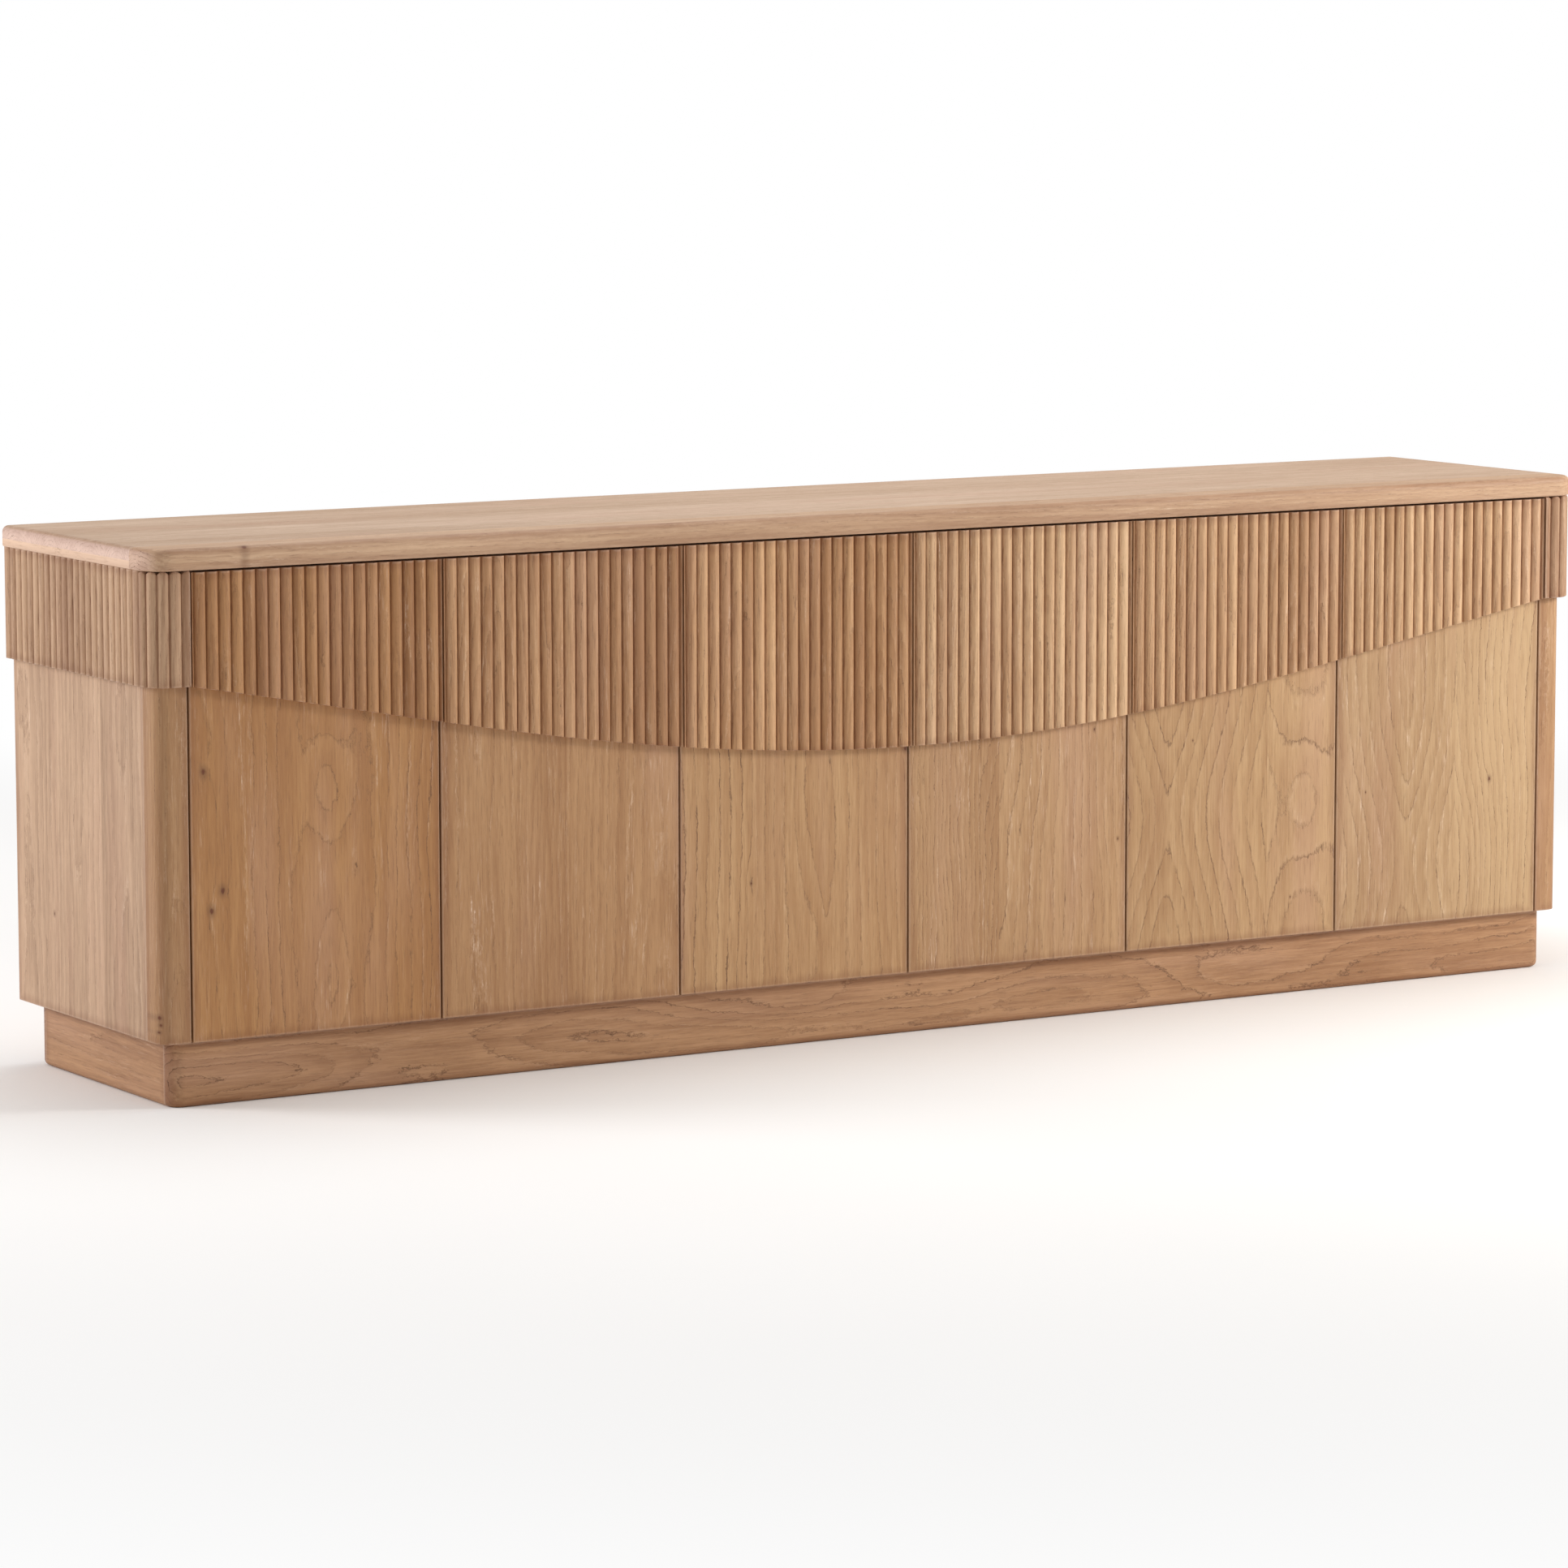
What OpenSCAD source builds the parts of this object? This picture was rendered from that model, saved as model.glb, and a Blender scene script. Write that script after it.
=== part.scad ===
// Media cabinet: six reeded swing doors on a long low oak case with a rounded slab top.
// Origin: centre of the footprint, on the floor.  +Z up, the doors face -Y.

/* [Overall size] */
// Width of the top slab, the widest part
top_w = 2438; // [2200:1:2600]
// Depth of the top slab
top_d = 483; // [430:1:560]
// Height from the floor to the top face
total_h = 768; // [700:1:850]

/* [Top slab] */
// Thickness of the slab at its edge
top_t = 30; // [28:1:40]
// Depth of the solid nosing board along the slab's front
nosing_d = 61.5; // [50:0.5:80]
// Thickness of the build-up strips glued under the ends and back of the panel
strip_t = 12; // [8:1:14]
// Width of the build-up strips
strip_w = 70; // [60:1:100]
// Plan radius of the slab's front corners
top_corner_r = 41; // [36:1:48]
// Plan radius of the slab's back corners
top_back_r = 12; // [12:1:20]
// Round-over along the slab's upper edge
top_round = 9; // [4:0.5:12]
// Round-over along the slab's lower edge
under_round = 3; // [1:0.5:5]
// How far the slab stands past the reeds, and past the case at the back
overhang = 2.5; // [1:0.5:5]

/* [Case] */
// Thickness of the case boards
board_t = 20; // [18:1:24]
// Width of a corner post seen from the front, up to the first door's pitch line
post_w = 47; // [42:1:60]
// Thickness of the back panels
back_t = 9; // [6:1:12]
// Radius of the cable hole in each back panel
cable_r = 30; // [20:1:35]
// Height of the cable holes' centres
cable_z = 540; // [500:1:600]
// Height of the shelves' underside
shelf_z = 396; // [300:1:460]
// Width of the rails under the slab
rail_w = 80; // [60:1:120]

/* [Plinth] */
// Height of the plinth
plinth_h = 89; // [70:1:110]
// How far the plinth's front stands back from the doors
plinth_in_front = 13; // [8:1:30]
// How far the plinth's sides stand in from the case sides
plinth_in_side = 20; // [20:1:30]
// How far the plinth's back stands in from the case back
plinth_in_back = 22; // [10:1:40]
// Thickness of the plinth boards, also the plan radius of its corners
plinth_t = 22; // [18:1:26]
// Round-over along the plinth's lower edge
plinth_round = 9; // [4:0.5:12]

/* [Doors] */
// Thickness of a door panel
door_t = 20; // [19:1:24]
// Clearance between doors and above them
door_gap = 3; // [2:0.5:4]
// Clearance between a closed door and the case behind it
stop_gap = 1.5; // [1:0.5:2]
// Clearance between a door's lower edge and the plinth
foot_gap = 2; // [1:0.5:4]

/* [Reeds] */
// How far the reeds' crests stand out from the door panels
band_proud = 14.5; // [12:0.5:18]
// Depth of the grooves between reeds
reed_depth = 6; // [3:0.5:7]
// Reeds across one door; the two outer ones are cut by the door's edges
reeds_per_door = 20.4; // [18.4:1:24.4]
// Reeds along each side, behind the corner piece
reeds_per_side = 23; // [18:1:28]
// Share of a reed left at a corner piece's edge, next to the door
first_reed = 0.61; // [0.55:0.01:0.75]
// Plan radius of the reeded corners at the crests
band_corner_r = 36; // [34:1:38]

/* [Swag] */
// Mean height of the wave that the reeds' lower edge follows
swag_z = 537; // [500:1:560]
// Half the height of that wave
swag_rise = 111.5; // [60:0.5:130]
// Distance from the wave's lowest point to its highest, past the cabinet's ends
swag_run = 1842; // [1600:1:2400]

/* [Hidden] */

$fn = 64;
oak = [0.72, 0.56, 0.42];
oak_light = [0.80, 0.67, 0.56];
oak_reed = [0.70, 0.53, 0.39];
oak_inner = [0.76, 0.62, 0.48];
oak_plinth = [0.64, 0.48, 0.35];
nickel = [0.72, 0.72, 0.70];
plastic = [0.20, 0.20, 0.21];
cut = 1;                                       // how far a cutter reaches past what it cuts

// Planes of the case
crest_y = -top_d / 2 + overhang;               // crests of the front reeds
face_y = crest_y + band_proud;                 // front face of door panels and posts
case_x = top_w / 2 - overhang - band_proud;    // outer face of the side panels
case_back = top_d / 2 - overhang;              // back of the case
under_z = total_h - top_t;                     // underside of the slab
case_z = plinth_h + foot_gap;                  // lower edge of doors, posts and sides
door_back_y = face_y + door_t;                 // inner face of a closed door
stop_y = door_back_y + stop_gap;               // front edges that the doors close against
board_back = case_back - back_t;               // back edges of the boards inside the case
deck_t = 22;                                   // thickness of the bottom panel
deck_z = plinth_h + deck_t;                    // top of the bottom panel
rail_z = under_z - board_t;                    // underside of the rails
inner_x = case_x - board_t;                    // inner face of the side panels

// Doors: six equal pitches between the posts, hinged in pairs at the posts and dividers
doors = 6;
pitch = 2 * (case_x - post_w) / doors;
door_w = pitch - door_gap;
door_top = under_z - door_gap;
post_edge = case_x - post_w + door_gap / 2;    // the posts' inner edge
post_d = 44.5;                                 // depth of a post, front to back
stile_d = 103;                                 // depth of the board behind a post
bay_x = pitch;                                 // centre planes of the two dividers
arc_x = case_x + band_proud - band_corner_r;   // axis of the rounded front corners
arc_y = crest_y + band_corner_r;
case_corner_r = band_corner_r - band_proud;

// Corner pieces: whole reeds from the door's edge, round the corner, to just past the arc
reed_p = door_w / reeds_per_door;
flat_len = arc_x - post_edge;
arc_len = band_corner_r * PI / 2;
corner_reeds_n = ceil((flat_len + arc_len) / reed_p - first_reed);
corner_len = (first_reed + corner_reeds_n) * reed_p;
side_y = arc_y + corner_len - flat_len - arc_len;   // where the side reeds start
corner_reed_r = 9;                             // radius of the corner reeds
corner_root = 5;                               // depth at which the corner grooves bottom out
nosing_y = -top_d / 2 + nosing_d;              // glue line behind the nosing

// Hinges, measured from the corner of the closed door that it turns about
hinge_in = 95;                                 // from a door's top and bottom to its hinges
hinge_zs = [case_z + hinge_in, door_top - hinge_in];
seat = 8.5;                                    // from the turning corner to the board it screws to
cup_x = 22.5;                                  // from the door's edge to the cup's centre
cup_r = 17.5;
cup_deep = 12.2;
cup_wall = 1;
flange_t = 1;                                  // flange that the cup is screwed down by
flange_rim = 2;                                // how far it stands out round the cup
flange_w = 18;
flange_l = 56;
arm_h = 12;
plate_t = 2.5;
plate_y0 = 58;                                 // front and back edge of a mounting plate
plate_y1 = 92;
plate_l = 48;
screw_y = 73;                                  // the plate's two screws
screw_dz = 16;
screw_hole_r = 2.2;
screw_r = 2;
screw_len = 9;
head_r = 4;
head_t = 1.8;

// Magnetic catches under the front rail, and the strike plates that they hold
catch_in = 10;                                 // from the door's free edge
catch_w = 36;
catch_d = 16;
catch_h = 15;
strike_in = 12;
strike_w = 32;
strike_h = 14;
strike_t = 1.2;

// Shelf-pin holes
pin_r = 2.5;
pin_hole_r = 2.6;
pin_len = 16;
pin_deep = 8;
pin_step = 32;
pin_ys = [-60, 190];
shelf_front = -95;
shelf_back = 225;
shelf_t = 20;
shelf_play = 1.5;
pin_inset = 0.2;                               // gap between a pin's end and its hole's bottom
panel_play = 0.5;                              // half the gap between two back panels
stretcher_z = 4;                               // the stretchers stay clear of the floor
swag_steps = 12;                               // chords of the swag across one door

function door_x(i) = -3 * pitch + i * pitch + door_gap / 2;      // left edge of door i, from 0
function hinge_side(i) = i % 2 == 0 ? 1 : -1;                    // 1: hinged on its left edge
function turn_x(i) = i % 2 == 0 ? door_x(i) : door_x(i) + door_w;
function swag(x) = swag_z - swag_rise * cos(180 * x / swag_run);
function reed_r(p, d) = (p * p / 4 + d * d) / (2 * d);           // radius that gives groove depth d
band_low = swag(3 * pitch);

// Box from its lowest and highest corners
module slab_box(lo, hi) {
  translate(lo) cube(hi - lo);
}

// Mirror image on the other side of the cabinet, for side = -1
module on_side(side) {
  if (side > 0) children();
  else mirror([1, 0, 0]) children();
}

// ---------- top slab ----------

// Half cross-section of a rounded edge: from the plan radius inward, z0 to z1
module edge_section(r, z0, z1, low_r, high_r) {
  difference() {
    translate([0, z0]) square([r, z1 - z0]);
    if (high_r > 0) difference() {
      translate([r - high_r, z1 - high_r]) square(high_r + cut);
      translate([r - high_r, z1 - high_r]) circle(high_r);
    }
    if (low_r > 0) difference() {
      translate([r - low_r, z0 - cut]) square([low_r + cut, low_r + cut]);
      translate([r - low_r, z0 + low_r]) circle(low_r);
    }
  }
}

// Right-hand end of a slab board with plan radius r at its corner: from x0 to the slab's end
// and from y0 to its back edge
module slab_end(r, x0, y0, z0, z1, low_r, high_r) {
  cx = top_w / 2 - r;
  cy = top_d / 2 - r;
  translate([cx, cy, 0]) intersection() {
    rotate_extrude() edge_section(r, z0, z1, low_r, high_r);
    slab_box([0, 0, z0 - cut], [r + cut, r + cut, z1 + cut]);
  }
  translate([cx, cy, 0]) rotate([90, 0, 0])
    linear_extrude(cy - y0) edge_section(r, z0, z1, low_r, high_r);
  translate([x0, cy, 0]) rotate([90, 0, 90])
    linear_extrude(cx - x0) edge_section(r, z0, z1, low_r, high_r);
  slab_box([x0, y0, z0], [cx, cy, z1]);
}

// Board over the slab's whole width, with both back corners rounded
module slab_board(r, y0, z0, z1, low_r, high_r) {
  cx = top_w / 2 - r;
  slab_end(r, -cx, y0, z0, z1, low_r, high_r);
  mirror([1, 0, 0]) slab_end(r, cx - 1, y0, z0, z1, low_r, high_r);
}

module top_panel() {
  color(oak) slab_board(top_back_r, nosing_y, under_z + strip_t, total_h, 0, top_round);
}

module top_nosing() {
  color(oak) mirror([0, 1, 0])
    slab_board(top_corner_r, -nosing_y, under_z, total_h, under_round, top_round);
}

module top_strip_end(side) {
  color(oak_light) on_side(side) slab_end(top_back_r, top_w / 2 - strip_w, nosing_y,
                                          under_z, under_z + strip_t, under_round, 0);
}

module top_strip_back() {
  x1 = top_w / 2 - strip_w;
  cy = top_d / 2 - top_back_r;
  color(oak) translate([-x1, cy, 0]) rotate([90, 0, 90]) linear_extrude(2 * x1) {
    edge_section(top_back_r, under_z, under_z + strip_t, under_round, 0);
    translate([top_back_r - strip_w, under_z]) square([strip_w - top_back_r, strip_t]);
  }
}

// ---------- case ----------

// A row of blind pin holes into a face at x, going towards dir
module pin_holes(x, dir) {
  for (y = pin_ys, k = [-2:2])
    translate([x, y, shelf_z - pin_r + k * pin_step])
      rotate([0, 90 * dir, 0]) translate([0, 0, -cut]) cylinder(r = pin_hole_r, h = pin_deep + cut);
}

// Plan of the corner post at the right
module post_plan() {
  translate([arc_x, arc_y]) circle(case_corner_r);
  translate([post_edge, face_y]) square([arc_x - post_edge, post_d]);
  translate([arc_x, arc_y]) square([case_x - arc_x, face_y + post_d - arc_y]);
}

module corner_post(side) {
  color(oak) on_side(side)
    translate([0, 0, case_z]) linear_extrude(under_z - case_z) post_plan();
}

module side_panel(side) {
  color(oak_light) on_side(side) difference() {
    slab_box([inner_x, face_y + post_d, case_z], [case_x, case_back, under_z]);
    pin_holes(inner_x, 1);
  }
}

// Board behind each post: the outer doors' hinges screw to it
module hinge_stile(side) {
  color(oak_inner) on_side(side) difference() {
    slab_box([turn_x(doors - 1) - seat, stop_y, deck_z], [inner_x, stop_y + stile_d, rail_z]);
    slab_box([post_edge, face_y, 0], [case_x, face_y + post_d, total_h]);
  }
}

// Board over the whole case, notched round the posts
module notched_board(y0, y1, z0, z1) {
  difference() {
    slab_box([-inner_x, y0, z0], [inner_x, y1, z1]);
    for (side = [-1, 1]) on_side(side)
      slab_box([post_edge, y0 - cut, z0 - cut], [inner_x + cut, face_y + post_d, z1 + cut]);
  }
}

module bottom_panel() {
  color(oak_inner) notched_board(stop_y, board_back, plinth_h, deck_z);
}

module top_rail_front() {
  color(oak_inner) notched_board(stop_y, stop_y + rail_w, rail_z, under_z);
}

module top_rail_back() {
  color(oak_inner)
    slab_box([-inner_x, board_back - rail_w, rail_z], [inner_x, board_back, under_z]);
}

module divider(side) {
  color(oak_inner) on_side(side) difference() {
    slab_box([bay_x - board_t / 2, stop_y, deck_z], [bay_x + board_t / 2, board_back, rail_z]);
    pin_holes(bay_x - board_t / 2, 1);
    pin_holes(bay_x + board_t / 2, -1);
  }
}

// Back panels meet on the dividers' centre planes, one per bay: -1, 0, 1
module back_panel(bay) {
  x0 = [-inner_x, -bay_x + panel_play, bay_x + panel_play][bay + 1];
  x1 = [-bay_x - panel_play, bay_x - panel_play, inner_x][bay + 1];
  color(oak_inner) difference() {
    slab_box([x0, board_back, plinth_h], [x1, case_back, under_z]);
    translate([(x0 + x1) / 2, board_back - cut, cable_z])
      rotate([-90, 0, 0]) cylinder(r = cable_r, h = back_t + 2 * cut);
  }
}

// Ends of the shelf in each bay: -1, 0, 1
function shelf_x0(bay) = [-inner_x, -bay_x + board_t / 2, bay_x + board_t / 2][bay + 1];
function shelf_x1(bay) = [-bay_x - board_t / 2, bay_x - board_t / 2, inner_x][bay + 1];

module shelf(bay) {
  color(oak_inner)
    slab_box([shelf_x0(bay) + shelf_play, shelf_front, shelf_z],
             [shelf_x1(bay) - shelf_play, shelf_back, shelf_z + shelf_t]);
}

module shelf_pins() {
  color(nickel) for (bay = [-1:1], y = pin_ys) {
    translate([shelf_x0(bay) - pin_deep + pin_inset, y, shelf_z - pin_r])
      rotate([0, 90, 0]) cylinder(r = pin_r, h = pin_len);
    translate([shelf_x1(bay) + pin_deep - pin_inset, y, shelf_z - pin_r])
      rotate([0, -90, 0]) cylinder(r = pin_r, h = pin_len);
  }
}

// ---------- plinth ----------

plinth_x = case_x - plinth_in_side;
plinth_y0 = face_y + plinth_in_front;
plinth_y1 = case_back - plinth_in_back;

// Section of a plinth board: rounded along its lower outer edge
module plinth_section() {
  edge_section(plinth_t, 0, plinth_h, plinth_round, 0);
}

// Board across the front, with quarter-round ends, its outer face towards -Y
module plinth_long(y) {
  color(oak_plinth) translate([0, y + plinth_t, 0]) {
    rotate([90, 0, -90]) translate([0, 0, -(plinth_x - plinth_t)])
      linear_extrude(2 * (plinth_x - plinth_t)) plinth_section();
    for (side = [-1, 1]) on_side(side) translate([plinth_x - plinth_t, 0, 0])
      intersection() {
        rotate_extrude() plinth_section();
        slab_box([0, -plinth_t - cut, -cut], [plinth_t + cut, 0, plinth_h + cut]);
      }
  }
}

module plinth_side(side) {
  y0 = plinth_y0 + plinth_t;
  y1 = plinth_y1 - plinth_t;
  color(oak_plinth) on_side(side)
    translate([plinth_x - plinth_t, y1, 0]) rotate([90, 0, 0])
      linear_extrude(y1 - y0) plinth_section();
}

module plinth_stretchers() {
  color(oak_inner) for (side = [-1, 1])
    slab_box([side * bay_x - board_t / 2, plinth_y0 + plinth_t, stretcher_z],
             [side * bay_x + board_t / 2, plinth_y1 - plinth_t, plinth_h]);
}

// ---------- reeds ----------

// Plan of a straight reeded board: crests on y = 0, back on y = band_proud, x from 0 to w
module reeded_plan(w, count) {
  p = w / count;
  r = reed_r(p, reed_depth);
  extra = (count - floor(count)) / 2;
  translate([0, reed_depth]) square([w, band_proud - reed_depth]);
  intersection() {
    square([w, band_proud]);
    for (k = [0:ceil(count)]) translate([(k - 0.5 + extra) * p, r]) circle(r);
  }
}

module side_reeds(side) {
  color(oak_reed) on_side(side)
    translate([case_x + band_proud, side_y, band_low]) rotate(90)
      linear_extrude(under_z - band_low) reeded_plan(case_back - side_y, reeds_per_side);
}

// Places its children at distance s along the crest line of the right-hand corner piece,
// their +X pointing outwards
module on_crest_line(s) {
  turn = max(0, min(90, (s - flat_len) / band_corner_r * 180 / PI));
  past = max(0, s - flat_len - arc_len);
  before = min(0, s - flat_len);
  translate([arc_x + before, arc_y + past]) rotate(turn - 90)
    translate([band_corner_r, 0]) children();
}

// Plan of the corner piece at the right: front return, reeded arc and a short side
module corner_plan() {
  difference() {
    union() {
      translate([post_edge, crest_y + corner_root]) square([flat_len, band_proud]);
      translate([arc_x, arc_y]) circle(band_corner_r - corner_root);
      translate([arc_x, arc_y]) square([band_corner_r - corner_root, side_y - arc_y]);
      for (k = [0:corner_reeds_n])
        on_crest_line((first_reed + k - 0.5) * reed_p)
          translate([-corner_reed_r, 0]) circle(corner_reed_r);
    }
    translate([arc_x, arc_y]) circle(case_corner_r);
    translate([post_edge - band_proud, face_y]) square([flat_len + band_proud, 2 * post_d]);
    translate([arc_x - cut, arc_y]) square([case_corner_r + cut, 2 * post_d]);
    translate([post_edge - 2 * band_proud, crest_y - cut]) square([2 * band_proud, post_d]);
    translate([arc_x, side_y]) square(2 * post_d);
  }
}

module corner_reeds(side) {
  color(oak_reed) on_side(side)
    translate([0, 0, band_low]) linear_extrude(under_z - band_low) corner_plan();
}

// ---------- doors ----------

// Draws hinge parts at the corner that door i turns about, mirrored for a right-hand hinge
module hinge_place(i) {
  translate([turn_x(i), crest_y, 0])
    if (hinge_side(i) > 0) children();
    else mirror([1, 0, 0]) children();
}

module door_panel(i) {
  color(oak) difference() {
    slab_box([door_x(i), face_y, case_z], [door_x(i) + door_w, door_back_y, door_top]);
    hinge_place(i) for (z = hinge_zs)
      translate([cup_x, band_proud + door_t + cut, z])
        rotate([90, 0, 0]) cylinder(r = cup_r, h = cup_deep + cut);
  }
}

// Reeded overlay of door i: its lower edge follows the swag across all six doors
module door_reeds(i) {
  x0 = door_x(i);
  x1 = x0 + door_w;
  edge = [for (k = [0:swag_steps]) let (x = x0 + door_w * k / swag_steps) [x, swag(x)]];
  color(oak_reed) intersection() {
    translate([x0, crest_y, 0]) linear_extrude(door_top) reeded_plan(door_w, reeds_per_door);
    translate([0, face_y + cut, 0]) rotate([90, 0, 0]) linear_extrude(band_proud + 2 * cut)
      polygon(concat(edge, [[x1 + cut, swag(x1)], [x1 + cut, door_top + cut],
                            [x0 - cut, door_top + cut], [x0 - cut, swag(x0)]]));
  }
}

// Cup with its flange: let into the door's inner face
module hinge_cups(i) {
  back = band_proud + door_t;
  color(nickel) hinge_place(i) for (z = hinge_zs) {
    translate([cup_x, back, z]) rotate([90, 0, 0]) difference() {
      union() {
        cylinder(r = cup_r, h = cup_deep);
        translate([0, 0, -flange_t]) cylinder(r = cup_r + flange_rim, h = flange_t);
        translate([-flange_rim, -flange_l / 2, -flange_t]) cube([flange_w, flange_l, flange_t]);
      }
      translate([0, 0, -flange_t - cut])
        cylinder(r = cup_r - cup_wall, h = cup_deep + flange_t - cup_wall + cut);
    }
  }
}

// Left edge of a piece of width w that stands in by gap from door i's free edge
function free_end_x(i, gap, w) = hinge_side(i) > 0 ? door_x(i) + door_w - gap - w : door_x(i) + gap;

module strike_plate(i) {
  color(nickel) translate([free_end_x(i, strike_in, strike_w), door_back_y, rail_z - catch_h])
    cube([strike_w, strike_t, strike_h]);
}

// ---------- hardware on the case ----------

// Plan of the cranked arm; its tip stands in the cup and leaves it as the door turns
module arm_plan() {
  polygon([[24, 29], [32, 29], [32, 44], [24, 56], [24, 98], [seat + plate_t, 98],
           [seat + plate_t, 52], [24, 41]]);
}

module hinge_arms() {
  color(nickel) for (i = [0:doors - 1]) hinge_place(i)
    for (z = hinge_zs) translate([0, 0, z - arm_h / 2]) linear_extrude(arm_h) arm_plan();
}

module hinge_plates() {
  color(nickel) for (i = [0:doors - 1]) hinge_place(i)
    for (z = hinge_zs) difference() {
      slab_box([seat, plate_y0, z - plate_l / 2], [seat + plate_t, plate_y1, z + plate_l / 2]);
      for (dz = [-screw_dz, screw_dz]) translate([seat - cut, screw_y, z + dz])
        rotate([0, 90, 0]) cylinder(r = screw_hole_r, h = plate_t + 2 * cut);
    }
}

module plate_screws() {
  color(nickel) for (i = [0:doors - 1]) hinge_place(i)
    for (z = hinge_zs, dz = [-screw_dz, screw_dz])
      translate([seat + plate_t, screw_y, z + dz]) rotate([0, -90, 0]) {
        translate([0, 0, -head_t]) cylinder(r = head_r, h = head_t);
        cylinder(r = screw_r, h = screw_len);
      }
}

module magnetic_catches() {
  color(plastic) for (i = [0:doors - 1])
    translate([free_end_x(i, catch_in, catch_w), stop_y, rail_z - catch_h])
      cube([catch_w, catch_d, catch_h]);
}

top_panel();
top_nosing();
top_strip_end(-1);  // top_strip_left
top_strip_end(1);  // top_strip_right
top_strip_back();
side_panel(-1);  // side_panel_left
side_panel(1);  // side_panel_right
corner_post(-1);  // corner_post_left
corner_post(1);  // corner_post_right
hinge_stile(-1);  // hinge_stile_left
hinge_stile(1);  // hinge_stile_right
bottom_panel();
divider(-1);  // divider_left
divider(1);  // divider_right
top_rail_front();
top_rail_back();
back_panel(-1);  // back_panel_left
back_panel(0);  // back_panel_middle
back_panel(1);  // back_panel_right
shelf(-1);  // shelf_left
shelf(0);  // shelf_middle
shelf(1);  // shelf_right
shelf_pins();
plinth_long(plinth_y0);  // plinth_front
rotate(180) plinth_long(-plinth_y1);  // plinth_back
plinth_side(-1);  // plinth_left
plinth_side(1);  // plinth_right
plinth_stretchers();
side_reeds(-1);  // side_reeds_left
side_reeds(1);  // side_reeds_right
corner_reeds(-1);  // corner_reeds_left
corner_reeds(1);  // corner_reeds_right
hinge_arms();
hinge_plates();
plate_screws();
magnetic_catches();
for (i = [0:doors - 1]) {
  door_panel(i);
  door_reeds(i);
  hinge_cups(i);
  strike_plate(i);
}
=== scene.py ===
# %% [markdown]
# # A long reeded media cabinet
# The cabinet's boards, sizes and hinges come from a packed model, the frame. This lesson gives
# that frame its looks: eased boards, rows of reeds, limed oak and plated hardware.
# Everything is in metres. The doors face -Y, and the origin is on the floor under the middle.

# %% Load the frame
import math
from dataclasses import dataclass

import bmesh
import bpy
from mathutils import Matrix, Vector


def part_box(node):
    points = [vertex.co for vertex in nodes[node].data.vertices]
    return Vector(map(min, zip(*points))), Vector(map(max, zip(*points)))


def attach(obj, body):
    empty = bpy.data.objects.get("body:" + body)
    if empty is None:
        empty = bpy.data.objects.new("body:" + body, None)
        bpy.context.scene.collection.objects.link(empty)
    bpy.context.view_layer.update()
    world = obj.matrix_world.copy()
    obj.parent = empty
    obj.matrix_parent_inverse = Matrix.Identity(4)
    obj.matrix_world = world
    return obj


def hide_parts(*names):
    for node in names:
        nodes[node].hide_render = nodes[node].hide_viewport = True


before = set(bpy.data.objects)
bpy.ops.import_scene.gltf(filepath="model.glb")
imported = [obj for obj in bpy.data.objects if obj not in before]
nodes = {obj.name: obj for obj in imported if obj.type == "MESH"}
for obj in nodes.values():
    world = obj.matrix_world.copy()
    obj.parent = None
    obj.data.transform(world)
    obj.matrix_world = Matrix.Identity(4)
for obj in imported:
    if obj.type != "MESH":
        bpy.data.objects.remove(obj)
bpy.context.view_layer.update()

MM = 0.001

# %% [markdown]
# ## The camera
# The cabinet is seen from its front left corner, from far away with a long lens, so that its long
# lines converge only slightly. A camera is placed by where it stands and by its turns: down
# towards the cabinet, a trace of roll, and round the vertical.

# %% Camera
STANDS_AT = (-4.7831, -7.7161, 1.5060)
LOOK_DOWN = 7.292
ROLL = 0.072
TURN_RIGHT = 31.403
LENS = 141.6
FILM_WIDTH = 36


def linked(name, data):
    """An object made from its data and put into the scene."""
    made = bpy.data.objects.new(name, data)
    bpy.context.scene.collection.objects.link(made)
    return made


camera = linked("camera", bpy.data.cameras.new("camera"))
camera.data.lens = LENS
camera.data.sensor_width = FILM_WIDTH
camera.location = STANDS_AT
camera.rotation_euler = [math.radians(angle) for angle in (90 - LOOK_DOWN, ROLL, -TURN_RIGHT)]
bpy.context.scene.camera = camera
print("camera stands", round(camera.location.length, 2), "m from the origin")

# %% [markdown]
# ## Sizes from the frame
# The boards' places are read from the frame's boxes, so that no board can drift away from the
# part it stands for. Only what a box can't tell is named here: radii, easings and the wave that
# the lower ends of the reeds follow across all six doors.

# %% Sizes
DOORS = 6
nose_lo, nose_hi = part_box("top_nosing")
strip_lo, strip_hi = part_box("top_strip_right")
post_lo, post_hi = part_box("corner_post_right")
side_lo, side_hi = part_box("side_panel_right")
band_lo, band_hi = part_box("side_reeds_right")
corner_lo, corner_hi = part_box("corner_reeds_right")
panel_boxes = [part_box(f"door_{n}_panel") for n in range(1, DOORS + 1)]
DOOR_W = panel_boxes[0][1].x - panel_boxes[0][0].x
FACE_Y = panel_boxes[0][0].y
CREST_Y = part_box("door_1_reeds")[0].y
PROUD = FACE_Y - CREST_Y
TOP_CORNER = 41 * MM
TOP_BACK_CORNER = 12 * MM
TOP_ROUND = 9 * MM
UNDER_ROUND = 3 * MM
PLINTH_ROUND = 9 * MM
PLINTH_T = 22 * MM
EASING = 1.2 * MM
SWAG_MEAN = 0.537
SWAG_RISE = 0.1115
SWAG_RUN = 1.842
print("doors", round(DOOR_W, 4), "m wide, reeds", round(PROUD * 1000, 1), "mm proud of them")

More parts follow.
